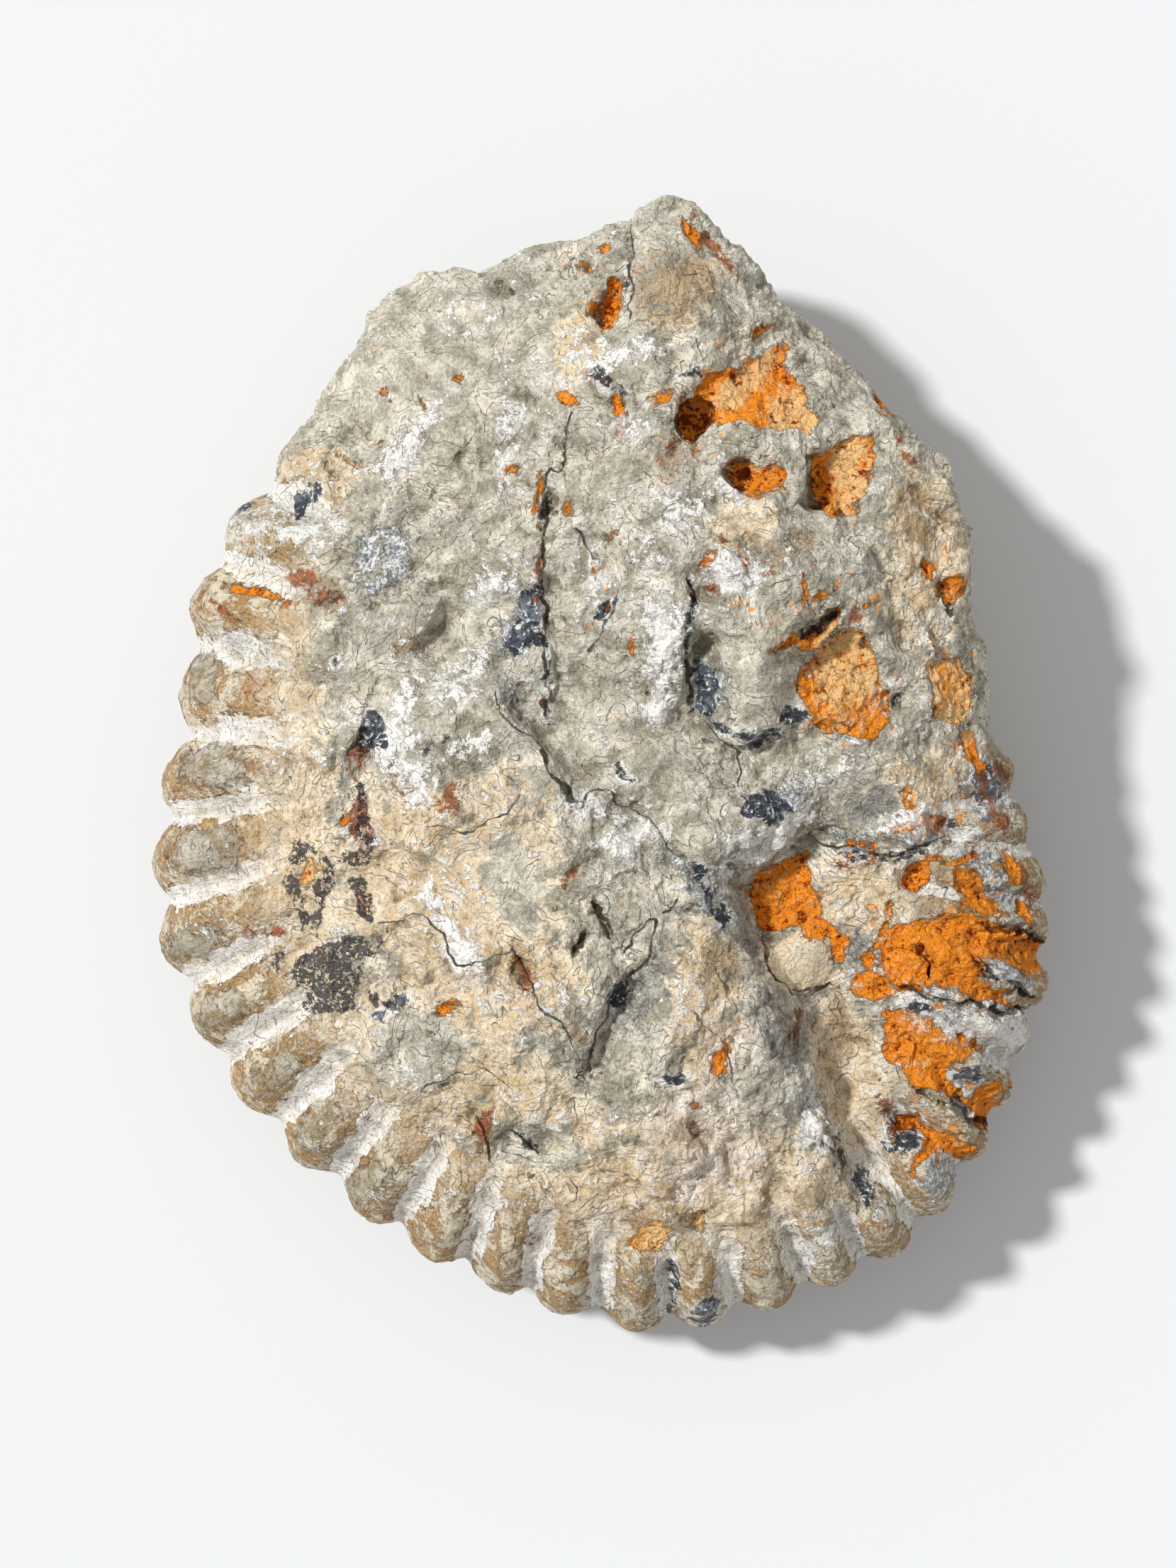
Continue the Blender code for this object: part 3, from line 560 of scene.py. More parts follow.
RUST = {
    "patches": [[(-26.9, -1.6), (-26.8, 1.6), (-25.6, 3.2), (-24.2, 2.4), (-24.9, 0.0), (-25.8, -1.8)],
                [(-26.6, -3.0), (-24.4, -3.0), (-23.8, -7.6), (-25.8, -8.4), (-26.6, -6.0)],
                [(-18.0, -3.8), (-16.9, -1.4), (-15.5, -1.2), (-15.2, -2.8), (-14.4, -4.0),
                 (-16.2, -4.6)]],
    "ovals": [(-3.3, -11.5, 1.5, 0.6, 80), (-8.4, -22.0, 2.8, 0.9, -70), (-12.4, -38.4, 3.0, 0.8, 80),
              (-31.0, 20.4, 1.6, 1.3, -30), (-28.6, 18.4, 1.9, 0.9, -20), (-40.5, 17.2, 2.2, 0.6, -25),
              (-35.4, -17.2, 1.8, 0.7, 5), (-36.9, 8.2, 1.5, 0.5, 0), (10.0, -38.3, 0.9, 0.8, 0),
              (20.9, -26.6, 2.6, 0.5, 80), (12.2, 55.2, 4.2, 0.8, -50), (42.6, 0.0, 1.4, 1.0, -60),
              (33.0, 33.2, 2.4, 0.6, -55), (-1.0, 41.0, 1.8, 0.5, 0), (30.2, -35.8, 1.2, 0.5, 10),
              (44.8, -12.2, 3.2, 0.9, -65), (27.2, 16.4, 1.0, 0.8, 0), (7.6, 34.6, 1.2, 0.7, 20),
              (-6.8, -49.6, 1.2, 0.5, 70)],
    "lines": [(0.32, (-22.3, 1.4), (-21.4, -1.6), (-20.4, -4), (-19.2, -4.6)),
              (0.35, (-25.2, -13), (-24.6, -15.2)), (0.35, (-24, -18), (-22.8, -17)),
              (0.3, (24.6, -8.9), (28, -10), (32.4, -9.6)), (0.25, (-6, 26), (-6.6, 22), (-6.6, 18)),
              (0.3, (-5.4, 9), (-5.2, 6)), (0.5, (37.6, 5), (40.2, -1), (43, -8))],
}
CHALK = {
    "patches": [[(-23.0, 3.2), (-19.0, 3.6), (-18.4, -0.6), (-18.8, -3.4), (-20.6, -2.6), (-21.8, 0.4)],
                [(-33.4, 24.0), (-32.0, 26.4), (-29.6, 26.8), (-28.2, 25.2), (-30.4, 23.2)],
                [(-22.6, 31.0), (-20.0, 33.4), (-17.0, 37.4), (-15.8, 39.8), (-17.6, 38.8),
                 (-21.0, 35.0)]],
    "ovals": [(13.2, 20.7, 2.7, 2.4, 0), (3.0, -7.2, 2.4, 1.6, 10), (0.0, 20.0, 1.8, 1.4, 50),
              (-9.7, 35.3, 2.8, 0.9, 85), (22.4, -36.0, 2.4, 1.0, 95), (43.0, -28.0, 2.6, 1.6, -40),
              (14.0, 30.6, 1.0, 0.8, 0), (-37.0, 24.6, 2.2, 1.0, 40),
              (36.0, -43.0, 1.8, 1.2, 20), (3.6, 36.0, 1.6, 1.2, 0), (24.0, -50.0, 2.2, 1.0, 20),
              (2.0, 44.0, 2.4, 0.8, 20), (-25.5, -6.8, 0.9, 0.6, 0), (-2.0, 23.0, 1.2, 0.7, 40),
              (4.8, 22.6, 1.0, 0.8, 0), (8.4, 27.6, 1.4, 0.6, 20), (28.0, 7.4, 1.6, 1.0, 40),
              (43.2, -21.6, 2.0, 0.9, -35), (21.0, -2.0, 2.2, 0.8, 20), (-13.0, 3.0, 1.6, 0.8, 0)],
    "lines": [(1.3, (6.6, 18), (6.8, 12), (5.8, 5)), (1.2, (-17, 7.4), (-12, 11.4)),
              (1.3, (12, -10.4), (17, -8), (22, -4.6)), (0.6, (-19, -11.6), (-16, -16), (-14, -20)),
              (0.9, (-13.6, 18), (-9, 21)), (0.7, (-3, -4.6), (1, -4), (6, -6.8)),
              (0.8, (-40, 14.5), (-34, 11)),
              (0.9, (-20, 9), (-22, 3)), (1.6, (33.4, -24.8), (38, -26.8), (42, -27.8), (45.6, -28.8)),
              (0.8, (40, -20.8), (44.6, -22.8)), (0.9, (30, -6.2), (36, -5.4), (41, -8.4))],
}
# Where iron has turned the grey marl beige, where it stays grey all the same, and where the ochre
# is dusty and pale
BEIGE_PLACES = [
    (-16, -12, 13, 12, 0), (-37, -8, 9, 30, 0), (-14, -36, 20, 9, -30), (8, -45, 17, 9, 0),
    (27, -33, 4, 9, 15), (21, -20, 4, 3, -20), (-12, -22, 10, 8, 0), (11, -25, 4, 9, 0),
    (-36, 14, 6, 6, 0), (16, 26, 4, 3, 0), (34, 22, 5, 10, 0), (9, 50, 3, 5, -40), (34, -4, 7, 6, 0),
    (-2, 45, 3, 4, 0), (-30, 31, 4, 3, 0), (28, -13, 5, 5, 0),
]
GREY_PLACES = [
    (3, -27, 3.4, 7, 0), (-7, -40, 5.4, 2.4, -8), (28, -4, 4, 3, 0), (16, 10, 5, 5, 0),
    (-20, -30, 5, 4, 0), (-9, -12, 3, 5, 20), (24, 22, 6, 6, 0), (-18, -29, 4, 4, 0),
]
PALE_OCHRE_PLACES = [(26, 11, 4, 5, 0), (20.5, 37.5, 3.4, 2.4, -14), (26.6, 31, 2.4, 5, 0),
                     (36.7, 8.3, 4, 5, 0), (8, -48.6, 5, 2.6, 20), (-28, 32, 4, 3, 0),
                     (-30.6, -11.8, 1.8, 4, 0), (14.6, 40.4, 5, 1.6, 40)]
# Where brown earth clings to the rock
UMBER_PLACES = [
    (-7.0, -47.5, 5, 2.2, -10), (5.0, -47.6, 3, 1.6, 0), (-12.6, -37.5, 1.3, 3.4, 10),
    (-8.0, -21.0, 1.4, 3.2, 20), (9.4, -38.6, 2.2, 1.8, 0), (7.4, 33.6, 1.6, 3.0, 0),
    (-29.4, 18.6, 3, 2, -20), (-2.6, -27.0, 1.2, 4.0, 10), (-31.0, 10.6, 3, 1.4, 0),
    (-33.0, -18.6, 3, 1.2, 20), (25.4, -27.0, 1.4, 3.6, 10), (20.0, 23.4, 4, 2, 30),
    (33.6, 27.0, 2, 4, 10), (12.8, -20.6, 2.4, 3.4, 0), (-20.6, 13.4, 2, 1.4, 40),
    (8.0, 51.0, 5, 4, 0),
]
# Where the rock is pale and faintly pink, and where it is a smooth pale pebble
ROSY_PLACES = [(11.0, -39.0, 8, 6, 0), (13.4, -28.6, 3, 4, 0), (-14.6, -20.4, 3, 3, 0)]
PEBBLES = [(21.2, -20.7, 3.5, 3.2, 0)]
# Worn tops of the ribs, each an oval with an ochre rim
WORN_TOPS = [
    (-41.0, 0.4, 3.3, 2.3, 0), (-41.3, -8.6, 3.6, 2.4, 8), (-43.0, -18.4, 3.0, 1.9, 20),
    (-40.0, -25.2, 3.2, 2.0, 28), (-34.0, -32.0, 2.8, 1.7, 35), (-42.0, 9.4, 1.7, 2.4, -5),
    (-30.0, -38.0, 2.8, 1.5, 48), (-24.6, -43.6, 2.6, 1.5, 55), (-38.6, 27.0, 2.2, 1.6, -30),
]
# Where specks of ochre are scattered over the rock
SPECKLED_PLACES = [(34, -12, 10, 12, 0), (37, -32, 8, 10, 0), (22, 14, 10, 12, 0),
                   (12, 38, 12, 6, 20), (-2, 52, 6, 4, 0), (36, 14, 6, 14, 0)]
# No stain reaches the underside: faces that look down and low points count as far outside each
LOOKS_DOWN, LOW_POINT, LOW_FADE = (0.1, 0.4), 12.0, 6.0
OUTSIDE_BELOW, BEIGE_BELOW = 6.0, 0.5
CRACK_END, CRACK_END_AWAY, CRACK_NEAR, CRACK_KEPT = 0.02, 4.0, (0.8, 1.3), 2.0
HOLLOW_ROUNDS, VALLEY_ROUNDS = 12, 90


def hollows(points, facing, edges, rounds):
    """How far each point lies below a smoothed copy of the surface, in millimetres."""
    count = len(points)
    ends = np.concatenate([edges[:, 0], edges[:, 1]])
    others = np.concatenate([edges[:, 1], edges[:, 0]])
    neighbours = np.bincount(ends, minlength=count)
    smooth = points.copy()
    for _ in range(rounds):
        for axis in range(3):
            total = np.bincount(ends, weights=smooth[others, axis], minlength=count)
            smooth[:, axis] = 0.5 * (smooth[:, axis] + total / neighbours)
    return ((smooth - points) * facing).sum(axis=1)


def store(mesh, **fields):
    """Keeps numbers for the points of a mesh, for its material to read."""
    for name, values in fields.items():
        layer = mesh.attributes.new(name, "FLOAT", "POINT")
        layer.data.foreach_set("value", np.asarray(values, np.float32))


points = places(stone.data)
facing = outward(stone.data)
edges = np.empty(len(stone.data.edges) * 2, np.int32)
stone.data.edges.foreach_get("vertices", edges)
edges = edges.reshape(-1, 2)
low = bend(LOW_POINT - points[:, 2], 0.0, LOW_FADE)
below = np.clip(bend(-facing[:, 2], *LOOKS_DOWN) + low, 0.0, 1.0)
outside = OUTSIDE_BELOW * below
ragged = wandering(points, MARK_WANDER)
store(stone.data, **{name: inside_marks(*ragged, marks) - outside for name, marks in [
    ("ochre", OCHRE), ("blue_shell_and_shade", BLUE_SHELL_AND_SHADE), ("silver_shell", SILVER_SHELL), ("soot_and_shadow", SOOT_AND_SHADOW),
    ("rust", RUST), ("chalk", CHALK), ("slate_and_step_shade", SLATE_AND_STEP_SHADE), ("worn_top", {"ovals": WORN_TOPS})]})
# A crack is too thin for the mesh to hold, so each point keeps which side of it it lies on
sides = []
x, y = wandering(points, CRACK_WANDER)
for half_width, *line in CRACKS:
    side, run = from_line(x, y, line)
    past_end = CRACK_END_AWAY * (1.0 - bend(run * (1.0 - run), 0.0, CRACK_END))
    sides.append((np.abs(side) + past_end, side, half_width))
nearest = np.argmin([side[0] for side in sides], axis=0)
near, side = [np.take_along_axis(np.array([row[part] for row in sides]), nearest[None], axis=0)[0]
              for part in (0, 1)]
crack_width = np.array([row[2] for row in sides])[nearest]
store(stone.data, crack_side=np.clip(side, -CRACK_KEPT, CRACK_KEPT),
      crack_width=crack_width * (1.0 - bend(near, *CRACK_NEAR)) * (1.0 - below))
x, y = seen_from_above(points)
beige = soft_ovals(x, y, BEIGE_PLACES) * (1.0 - soft_ovals(x, y, GREY_PLACES))
number, inset, ribbed = ribs(x, y)
store(stone.data, beige=np.clip(beige + BEIGE_BELOW * below, 0.0, 1.0),
      pale=soft_ovals(x, y, PALE_OCHRE_PLACES),
      pebble=inside_marks(x, y, {"ovals": PEBBLES}) - outside,
      hollow=hollows(points, facing, edges, HOLLOW_ROUNDS),
      valley=hollows(points, facing, edges, VALLEY_ROUNDS),
      rib_number=number, rib_inset=inset, ribbed=ribbed)
store(stone.data, **{name: soft_ovals(x, y, rows) * (1.0 - below) for name, rows in [
    ("calm", CALM_PLACES), ("speckled", SPECKLED_PLACES), ("umber", UMBER_PLACES),
    ("rosy", ROSY_PLACES)]})

# Finish of the stone. Grey marl with chalk flecks, beige where iron has stained it, ochre and olive
# on the crests of the ribs and white and streaked between them. The hollows hold orange ochre.
SUNLIT = 0.90
# Colours as they look in the sun, alone or as the two that a grain mixes
CHALK_WHITE = (252, 250, 244)
MARL = (162, 155, 136), (234, 228, 210)
BEIGE = (214, 188, 148), (255, 243, 218)
ROSY = (214, 192, 168), (255, 244, 230)
PEBBLE = (226, 202, 162), (250, 234, 200)
SLATE_AND_SHADE_GREYS = (92, 94, 100), (172, 170, 164)
OCHRE_WASH, UMBER, OLIVE_AND_HOLLOW_SHADE = (208, 164, 96), (146, 112, 62), (132, 120, 90)
# The dark speck colour also paints the hairline shadows, and the hollow brown paints shade in hollows
DARK_SPECK_AND_SHADOW, PEPPER, SHADE_BROWN = (84, 70, 48), (138, 124, 102), (120, 98, 70)
CREST, CREST_EDGE = ((222, 210, 184), (176, 136, 82)), (98, 62, 28)
WORN = (134, 116, 78), (200, 194, 176)
GROOVE = (238, 228, 208), CHALK_WHITE
SILVER_AND_GLINT_TONES = (112, 120, 130), (244, 246, 244)
BLUE_BLACK = (28, 38, 52), (112, 120, 130)
RUSTY = (92, 48, 24), (176, 98, 48)
SOOT_AND_SHADOW_GREYS = (40, 34, 38), (96, 94, 100)
ORANGE, ORANGE_DEEP_AND_SHADE = ((255, 150, 22), (255, 208, 142)), (124, 30, 2)
CRACKED = (44, 30, 20), (96, 34, 6)
# How far each layer covers what lies under it
COVER = {
    "wash": 0.38, "rosy": 0.75, "umber": 0.60, "olive_and_shade": 0.34, "crest_edge": 0.60, "tarnish": 0.60,
    "crest": 0.88, "groove": 0.95, "seam": 0.80, "worn": 0.85, "rim": 0.70, "hairline_shadow": 0.48,
    "slate_and_step_shade": 0.62, "pebble": 0.85, "veil": 0.55, "powder": 0.90, "speck": 0.60, "salt": 0.26,
    "pepper": 0.50, "silver": 0.85, "shell_edge": 0.70, "blue": 0.95, "rust": 0.90, "soot_and_shadow": 0.90,
    "pale": 0.45, "deep_and_shaded": 0.90, "spots": 0.85, "shade": 0.36,
}
# How high each grain stands out as a bump, in millimetres
BUMP = {
    "lumps": 0.22, "grit": 0.42, "layers": 0.24, "flecks": 0.14, "powder": 0.08, "ochre": 0.80,
    "silk": 0.35, "hairline_shadow": 0.08, "shell": 0.40, "crack": 0.40, "speck": 0.10,
}
RIB_LEAN, SILK_ACROSS, SILK_ALONG = 0.10, 13.0, 0.20
DULL, SHELL_SHINE, SPECULAR = 0.92, 0.40, 0.3


def colour(seen):
    """A colour as it looks in the sun, 0 to 255, as the share of light that the stone gives back."""
    shares = [value / 255.0 for value in seen]
    linear = [s / 12.92 if s <= 0.04045 else ((s + 0.055) / 1.055) ** 2.4 for s in shares]
    return (*[SUNLIT * value for value in linear], 1.0)


class Signal:
    """One output of a shader node, so that sums of them read as ordinary sums."""

    def __init__(self, socket):
        self.socket = socket

    def node(self, kind, settings, inputs, output=0):
        """Adds a node: its settings first, then a value or a link for each input."""
        tree = self.socket.node.id_data
        made = tree.nodes.new(kind)
        for name, value in settings.items():
            setattr(made, name, value)
        for name, value in inputs.items():
            if isinstance(value, Signal):
                tree.links.new(value.socket, made.inputs[name])
            else:
                made.inputs[name].default_value = value
        return Signal(made.outputs[output])

    def math(self, operation, first, second):
        return self.node("ShaderNodeMath", {"operation": operation}, {0: first, 1: second})

    def __add__(self, other):
        return self.math("ADD", self, other)

    def __radd__(self, other):
        return self.math("ADD", other, self)

    def __sub__(self, other):
        return self.math("SUBTRACT", self, other)

    def __rsub__(self, other):
        return self.math("SUBTRACT", other, self)

    def __mul__(self, other):
        return self.math("MULTIPLY", self, other)

    def __rmul__(self, other):
        return self.math("MULTIPLY", other, self)

    def __abs__(self):
        return self.math("ABSOLUTE", self, 0.0)

    def most(self, other):
        return self.math("MAXIMUM", self, other)

    def rise(self, low, high):
        """0 at low, 1 at high and an even bend between them."""
        settings = {"interpolation_type": "SMOOTHSTEP"}
        return self.node("ShaderNodeMapRange", settings, {0: self, 1: low, 2: high, 3: 0.0, 4: 1.0})

    def between(self, first, second, mode="MIX"):
        """The colour this share of the way from the first to the second."""
        settings = {"data_type": "RGBA", "blend_type": mode}
        return self.node("ShaderNodeMix", settings, {0: self, 6: first, 7: second}, 2)

    def shades(self, seen):
        """From the first to the second of two colours."""
        return self.between(colour(seen[0]), colour(seen[1]))

    def covers(self, under, seen):
        """A colour laid over another as far as this share says."""
        return self.between(under, colour(seen))

    def darkens(self, under, seen):
        """A colour multiplied by another as far as this share says."""
        return self.between(under, colour(seen), "MULTIPLY")


limestone = bpy.data.materials.new("weathered_limestone")
limestone.use_nodes = True
shader = limestone.node_tree.nodes["Principled BSDF"]
start = Signal(limestone.node_tree.nodes.new("ShaderNodeTexCoord").outputs["Object"])
in_mm = start.node("ShaderNodeVectorMath", {"operation": "SCALE"}, {"Vector": start, "Scale": 1 / MM})


def grain(size, depth=4.0, roughness=0.6, swirl=0.0, at=in_mm):
    """Noise with lumps of a size in millimetres, about 0 to 1."""
    return start.node("ShaderNodeTexNoise", {}, {
        "Vector": at, "Scale": 1.0 / size, "Detail": depth, "Roughness": roughness,
        "Distortion": swirl})


def kept(name):
    """A number that the mesh keeps for each of its points."""
    return start.node("ShaderNodeAttribute", {"attribute_name": name}, {}, 2)


# The grains that the layers share. rise() says where in a grain a layer starts and is whole.
broad = grain(9.0, 3.0, 0.55)
cloud = grain(3.6, 5.0, 0.62, 0.5)
mottle = grain(1.8, 6.0, 0.68, 0.4)
grit = grain(0.9, 4.0, 0.70)
dust = grain(0.30, 3.0, 0.70)
flecks = grain(0.42, 3.0, 0.65, 0.2)
crumbly = grain(0.75, 4.0, 0.62, 0.3)
crumple = grain(1.3, 4.0, 0.62, 1.6)
fray = (grain(1.5, 7.0, 0.74, 0.6) - 0.5) * 8.0
hollow, valley, calm, ribbed = kept("hollow"), kept("valley"), kept("calm"), kept("ribbed")

# Marl and beige rock, with olive in the hollows that is partly painted shade and partly olive
# blotches, and white crumbs on what stands out
tone = (cloud * 0.35 + mottle * 0.35 + flecks * 0.30).rise(0.42, 0.58)
marl = tone.shades(MARL)
beige = tone.shades(BEIGE)
iron = kept("beige") + (cloud - 0.5) * 3.2 + (mottle - 0.5) * 2.2
rock = iron.rise(0.35, 0.70).between(marl, beige)
wash = (iron * 0.12 + grain(2.4, 6.0, 0.70, 0.8)).rise(0.60, 0.68)
rock = (wash * COVER["wash"]).covers(rock, OCHRE_WASH)
rosy = (kept("rosy") + (mottle - 0.5) * 2.4 + (cloud - 0.5) * 1.6).rise(0.35, 0.75)
rock = (rosy * COVER["rosy"]).between(rock, tone.shades(ROSY))
umber = (kept("umber") + (mottle - 0.5) * 3.2 + (cloud - 0.5) * 2.4).rise(0.55, 0.85)
rock = (umber * COVER["umber"]).covers(rock, UMBER)
# Painted shade in part: olive darkens the hollows, and also lies in random blotches
olive_and_shade = (hollow * 0.9 + (0.5 - cloud) * 1.4 + (0.5 - flecks) * 1.2).rise(0.16, 0.40)
rock = (olive_and_shade * COVER["olive_and_shade"]).covers(rock, OLIVE_AND_HOLLOW_SHADE)

# Ribs: bare shell and brown skin with dark edges on the crests, white silky shell between them
rib_place = start.node("ShaderNodeCombineXYZ", {}, {
    "X": kept("rib_number") * SILK_ACROSS, "Y": kept("rib_inset") * SILK_ALONG, "Z": 0.0})
silk = grain(1.0, 5.0, 0.62, 0.25, rib_place)
lean = kept("rib_number") + RIB_LEAN
cleft = lean.math("PINGPONG", lean, 0.5) * 2.0
opening = cleft * 0.5 + valley * 0.6 + (mottle - 0.5) * 1.0 + (silk - 0.5) * 0.8
groove = opening.rise(0.20, 0.36)
skin = grain(3.2, 6.0, 0.60, 0.9)
browned = (skin * 0.6 + mottle * 0.2 + flecks * 0.2).rise(0.46, 0.54)
crest = browned.shades(CREST)
crest_edge = (1.0 - abs(skin - 0.5).rise(0.0, 0.045)) * mottle.rise(0.40, 0.60)
crest = (crest_edge * COVER["crest_edge"]).covers(crest, CREST_EDGE)
tarnish = (grain(2.2, 6.0, 0.70, 1.0) - cleft * 0.05 + (flecks - 0.5) * 0.2).rise(0.50, 0.56)
crest = (tarnish * COVER["tarnish"]).covers(crest, WORN[0])
rock = (ribbed * (1.0 - groove) * COVER["crest"]).between(rock, crest)
rock = (ribbed * groove * COVER["groove"]).between(rock, silk.rise(0.36, 0.54).shades(GROOVE))
seam = (1.0 - abs(opening - 0.22).rise(0.01, 0.07)) * cloud.rise(0.46, 0.52) * ribbed
rock = (seam * COVER["seam"]).covers(rock, CREST_EDGE)

# Worn tops of the ribs, grey, each with a dark rim
worn = kept("worn_top") + fray * 0.30
grey_top = (cloud * 0.6 + dust * 0.4).rise(0.42, 0.56).shades(WORN)
rock = (worn.rise(-0.05, 0.25) * COVER["worn"]).between(rock, grey_top)
rim = worn.rise(-0.6, 0.0) * (1.0 - worn.rise(0.0, 0.6)) * (cloud * 0.5 + grit * 0.5).rise(0.44, 0.54)
rock = (rim * COVER["rim"]).covers(rock, CREST_EDGE)

# Painted hairline shadows along the edges of thin flakes, slate-grey bands that are partly painted
# shade on the faces of the steps, and a smooth pebble
flake = grain(6.0, 3.0, 0.52, 0.6)
layer = (flake - 0.48) * 12.5
# Painted shadow: a thin dark line along the same flake grain whose steps the bump raises
hairline_shadow = (1.0 - layer.math("PINGPONG", layer, 0.5).rise(0.02, 0.08)) * cloud.rise(0.52, 0.57)
rock = (hairline_shadow * COVER["hairline_shadow"]).covers(rock, DARK_SPECK_AND_SHADOW)
# Painted shade in part: slate grey darkens the steep faces of the steps, and marks grey rock elsewhere
slate_and_step_shade = (kept("slate_and_step_shade") + fray * 0.9).rise(-0.3, 0.6)
slate_grey_and_shade = (crumple * 0.5 + flecks * 0.5).rise(0.43, 0.57).shades(SLATE_AND_SHADE_GREYS)
rock = (slate_and_step_shade * COVER["slate_and_step_shade"]).between(rock, slate_grey_and_shade)
pebble = kept("pebble").rise(-0.1, 0.3)
rock = (pebble * COVER["pebble"]).between(rock, flecks.rise(0.40, 0.56).shades(PEBBLE))

# Chalk lies in crumbs, thick where it is listed and thin everywhere else
crumbs = flecks * 0.35 + grit * 0.40 + mottle * 0.25 + (broad - 0.5) * 0.30 - hollow * 0.12
heap = (kept("chalk") + fray * 0.9).rise(-2.6, 1.8)
veil = (cloud * 0.6 + mottle * 0.4 + heap * 0.20).rise(0.56, 0.72)
rock = (veil * COVER["veil"]).covers(rock, CHALK_WHITE)
powder = (crumbs + heap * 0.16 - ribbed * 0.03).rise(0.575, 0.605)
powder = powder.most((kept("chalk") + fray * 0.5).rise(0.5, 1.5) * mottle.rise(0.42, 0.50))
rock = (powder * COVER["powder"]).covers(rock, CHALK_WHITE)
speck = (flecks * 0.4 + mottle * 0.6 - calm * 0.01).rise(0.63, 0.66) * (1.0 - powder)
rock = (speck * COVER["speck"]).covers(rock, DARK_SPECK_AND_SHADOW)

# Salt and pepper: the finest grains, some white and some dark
spice = dust * 0.6 + flecks * 0.4
rock = (spice.rise(0.46, 0.40) * COVER["salt"]).covers(rock, CHALK_WHITE)
rock = (spice.rise(0.53, 0.60) * COVER["pepper"]).darkens(rock, PEPPER)

# Shell: silvery and crumpled, or blue-black with painted glints, with a white edge. Both are painted
# lighter on their raised crumples and darker in the creases, as painted highlight and shade
silver = (kept("silver_shell") + fray * 1.2).rise(-0.4, 0.4) * (mottle + 0.1).rise(0.52, 0.58)
# Painted highlight and shade: white on the raised crumples that the bump lifts, grey in the creases
foil_lit_and_shaded = (crumple * 0.6 + flecks * 0.4).rise(0.44, 0.54).shades(SILVER_AND_GLINT_TONES)
rock = (silver * COVER["silver"]).between(rock, foil_lit_and_shaded)
shell_inset = kept("blue_shell_and_shade") + fray * 0.35
blue = shell_inset.rise(-0.08, 0.12)
shell_edge = shell_inset.rise(-0.7, -0.1) * mottle.rise(0.42, 0.55)
rock = (shell_edge * COVER["shell_edge"]).covers(rock, CHALK_WHITE)
# Painted highlight: the lighter grey and the white glints sit on the raised crumples
blue_black_with_glints = (crumple * 0.5 + cloud * 0.5).rise(0.47, 0.58).shades(BLUE_BLACK)
blue_black_with_glints = (crumple * 0.6 + flecks * 0.4).rise(0.55, 0.575).covers(blue_black_with_glints, SILVER_AND_GLINT_TONES[1])
rock = (blue * COVER["blue"]).between(rock, blue_black_with_glints)

# Rust and soot; some of the soot is painted shadow in a slot and on the faces of steps
rust = (kept("rust") + fray * 0.45).rise(-0.15, 0.25)
red = (grit * 0.6 + cloud * 0.4).rise(0.42, 0.58).shades(RUSTY)
rock = (rust * mottle.rise(0.36, 0.50) * COVER["rust"]).between(rock, red)
soot_and_shadow = (kept("soot_and_shadow") + fray * 0.36).rise(-0.10, 0.12) * (mottle * 0.5 + flecks * 0.5).rise(0.455, 0.48)
rock = (soot_and_shadow * COVER["soot_and_shadow"]).between(rock, dust.rise(0.50, 0.62).shades(SOOT_AND_SHADOW_GREYS))

# Ochre, dusty where it is dry and red-brown deep down, with specks of it strewn round the beds.
# Its raised crumbs are paler as painted highlight, and its hollows and the gaps between crumbs are
# darker as painted shade
ochre = (kept("ochre") + fray * 0.30).rise(-0.10, 0.15)
# Paler where the ochre is dusty, and on the raised crumbs as painted highlight
dusty_and_highlit = (kept("pale") * 0.55 + (cloud - 0.5) * 1.8 + (crumbly - 0.5) * 1.4).rise(0.15, 0.60)
orange = (spice.rise(0.47, 0.41) * COVER["pale"]).covers(dusty_and_highlit.shades(ORANGE), ORANGE[1])
# Painted shade in part: red-brown in the hollows and between the crumbs that the bump raises
deep_and_shaded = hollow + (0.5 - crumbly) * 3.6 + (0.5 - mottle) * 1.2 + (spice - 0.5) * 2.4
orange = (deep_and_shaded.rise(0.44, 0.80) * COVER["deep_and_shaded"]).covers(orange, ORANGE_DEEP_AND_SHADE)
strewn = kept("speckled") * 0.05 + (kept("ochre") + fray).rise(-3.5, 0.0) * 0.07
spots = (grain(1.3, 5.0, 0.70, 0.6) + strewn - calm * 0.05).rise(0.705, 0.73)
ochre = ochre * (1.0 - powder * kept("ochre").rise(3.0, 0.0) * 0.6)
rock = ochre.most(spots * COVER["spots"]).between(rock, orange)

# Cracks, red-brown in the ochre, and painted brown shade in every hollow but there
crack_gap = abs(kept("crack_side") + fray * 0.07)
pinch = (cloud * 0.5 + mottle * 0.5).rise(0.40, 0.56)
crack = (kept("crack_width") * pinch * 1.25 - crack_gap).rise(-0.07, 0.05)
rock = (crack * (pinch * 0.5 + 0.42)).between(rock, ochre.shades(CRACKED))
shade = (hollow * 2.0 + (0.5 - mottle) * 1.2).rise(0.14, 0.84)
rock = (shade * COVER["shade"] * (1.0 - ochre)).darkens(rock, SHADE_BROWN)
limestone.node_tree.links.new(rock.socket, shader.inputs["Base Color"])

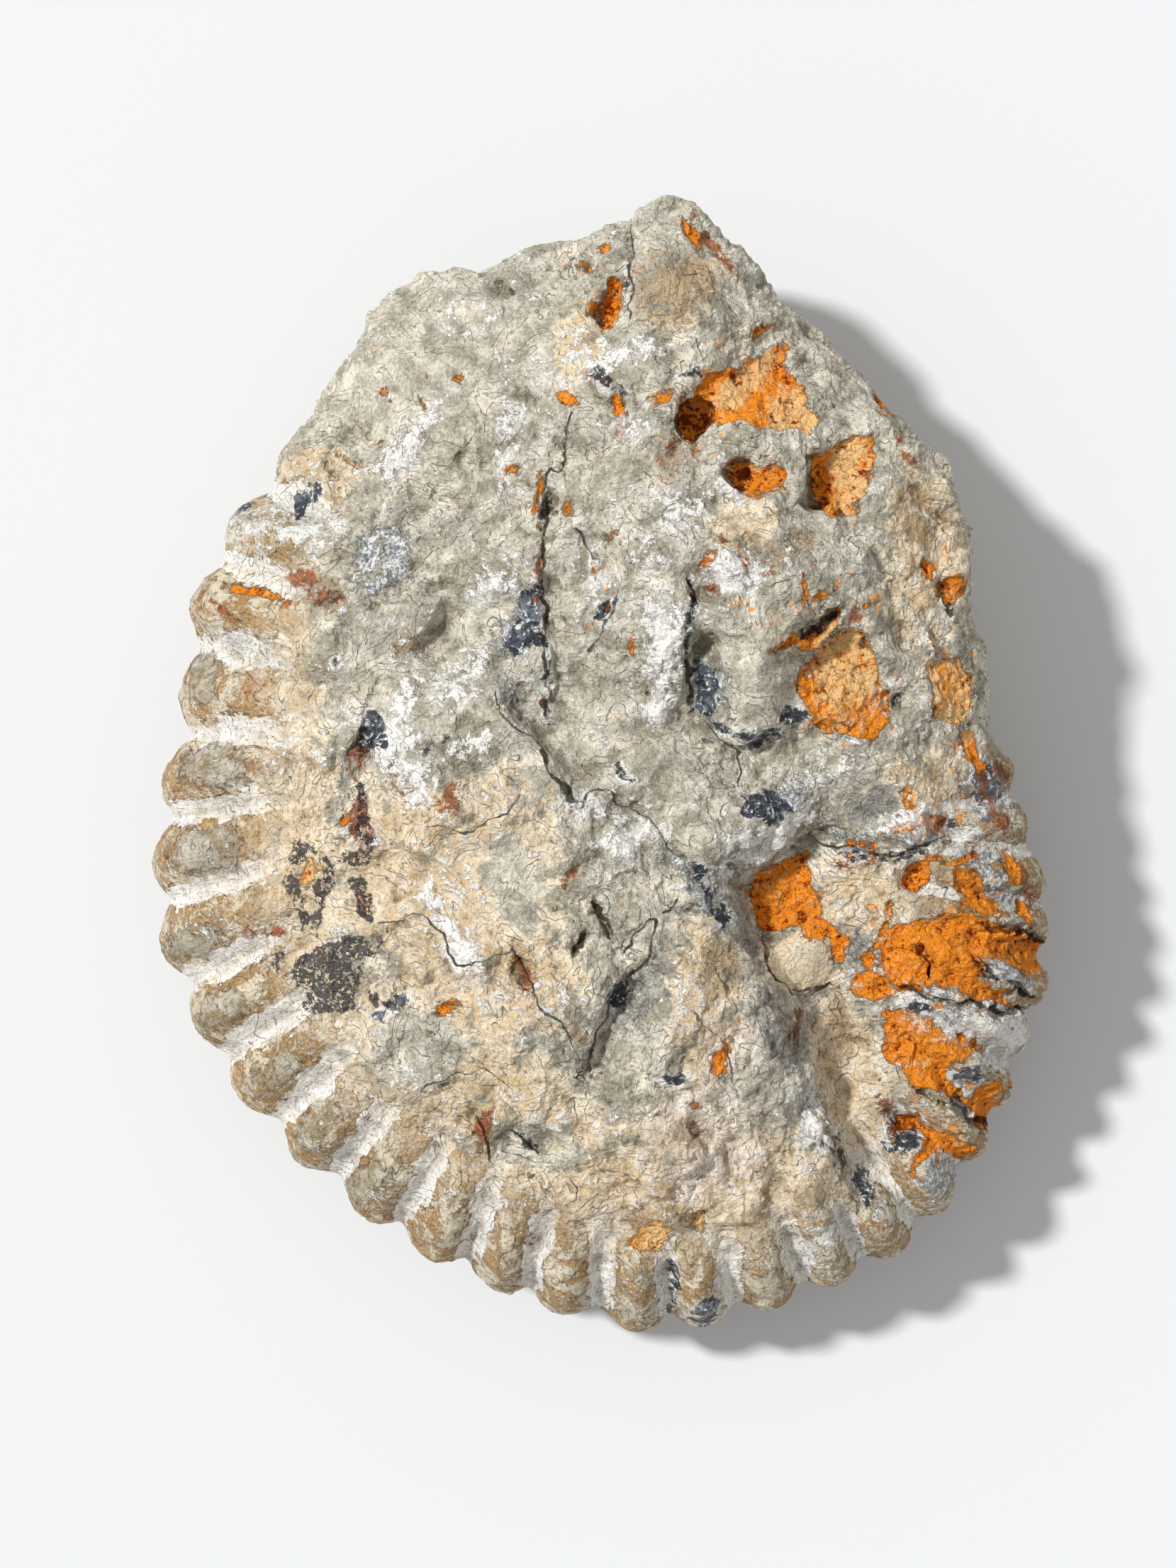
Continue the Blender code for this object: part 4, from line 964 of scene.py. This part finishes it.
# The bumps follow the same grains as the colours, so that crumbs are white and pits are dark, which
# in the ochre and along the flake edges is painted highlight and shade
layers = flake.rise(0.48, 0.487) + flake.rise(0.56, 0.567) + flake.rise(0.40, 0.407)
lumps = grain(1.8, 2.0, 0.60, 0.4)
rough = 1.0 - calm * 0.40 - ribbed * 0.20
height = rough * (lumps * BUMP["lumps"] + grit * BUMP["grit"] + layers * BUMP["layers"])
height = height + flecks * BUMP["flecks"] + powder * BUMP["powder"]
height = height + ochre * crumbly * BUMP["ochre"] + ribbed * silk * BUMP["silk"]
height = height - hairline_shadow * BUMP["hairline_shadow"] + silver.most(blue) * crumple * BUMP["shell"]
height = height - crack * BUMP["crack"] - speck * BUMP["speck"]
bumps = start.node("ShaderNodeBump", {}, {"Strength": 1.0, "Distance": MM, "Height": height})
limestone.node_tree.links.new(bumps.socket, shader.inputs["Normal"])
satin = DULL - silver.most(blue) * SHELL_SHINE
limestone.node_tree.links.new(satin.socket, shader.inputs["Roughness"])
shader.inputs["Specular IOR Level"].default_value = SPECULAR
stone.data.materials.clear()
stone.data.materials.append(limestone)
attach(stone, "root")
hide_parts("fossil_ammonite")

# Floor, light and camera. The stone lies on a pale floor in low sun from the upper left, and the
# camera looks straight down on it.
FLOOR_WIDTH = 8.0
FLOOR_COLOUR, FLOOR_DULL = (0.750, 0.760, 0.770, 1.0), 0.7
SUN_HEADING = (0.905, -0.425, -1.25)
SUN_STRENGTH = 2.95
SUN_WIDTH_DEGREES = 5.0
SKY_COLOUR, SKY_STRENGTH = (1.0, 1.0, 1.0, 1.0), 0.475
PHOTO_HEIGHT_PIXELS = 2212
PIXELS_PER_MM = 13.333
SENSOR_WIDTH = 36.0

ground = bmesh.new()
bmesh.ops.create_grid(ground, x_segments=1, y_segments=1, size=FLOOR_WIDTH / 2.0)
floor_mesh = bpy.data.meshes.new("floor")
ground.to_mesh(floor_mesh)
ground.free()
floor = bpy.data.objects.new("floor", floor_mesh)
bpy.context.scene.collection.objects.link(floor)
pale = bpy.data.materials.new("pale_floor")
pale.use_nodes = True
plain = pale.node_tree.nodes["Principled BSDF"]
plain.inputs["Base Color"].default_value = FLOOR_COLOUR
plain.inputs["Roughness"].default_value = FLOOR_DULL
floor_mesh.materials.append(pale)

sun_data = bpy.data.lights.new("sun", "SUN")
sun_data.energy = SUN_STRENGTH
sun_data.angle = math.radians(SUN_WIDTH_DEGREES)
sun = bpy.data.objects.new("sun", sun_data)
sun.rotation_euler = Vector(SUN_HEADING).to_track_quat("-Z", "Y").to_euler()
bpy.context.scene.collection.objects.link(sun)
sky = bpy.data.worlds.new("sky")
sky.use_nodes = True
sky.node_tree.nodes["Background"].inputs["Color"].default_value = SKY_COLOUR
sky.node_tree.nodes["Background"].inputs["Strength"].default_value = SKY_STRENGTH
bpy.context.scene.world = sky
bpy.context.scene.view_settings.view_transform = "Standard"

camera_data = bpy.data.cameras.new("camera")
camera_data.sensor_width = SENSOR_WIDTH
view_height = PHOTO_HEIGHT_PIXELS / PIXELS_PER_MM
camera_data.lens = SENSOR_WIDTH * (EYE[2] - TRUE_HEIGHT) / view_height
camera = bpy.data.objects.new("camera", camera_data)
camera.location = Vector(EYE) * MM
bpy.context.scene.collection.objects.link(camera)
bpy.context.scene.camera = camera
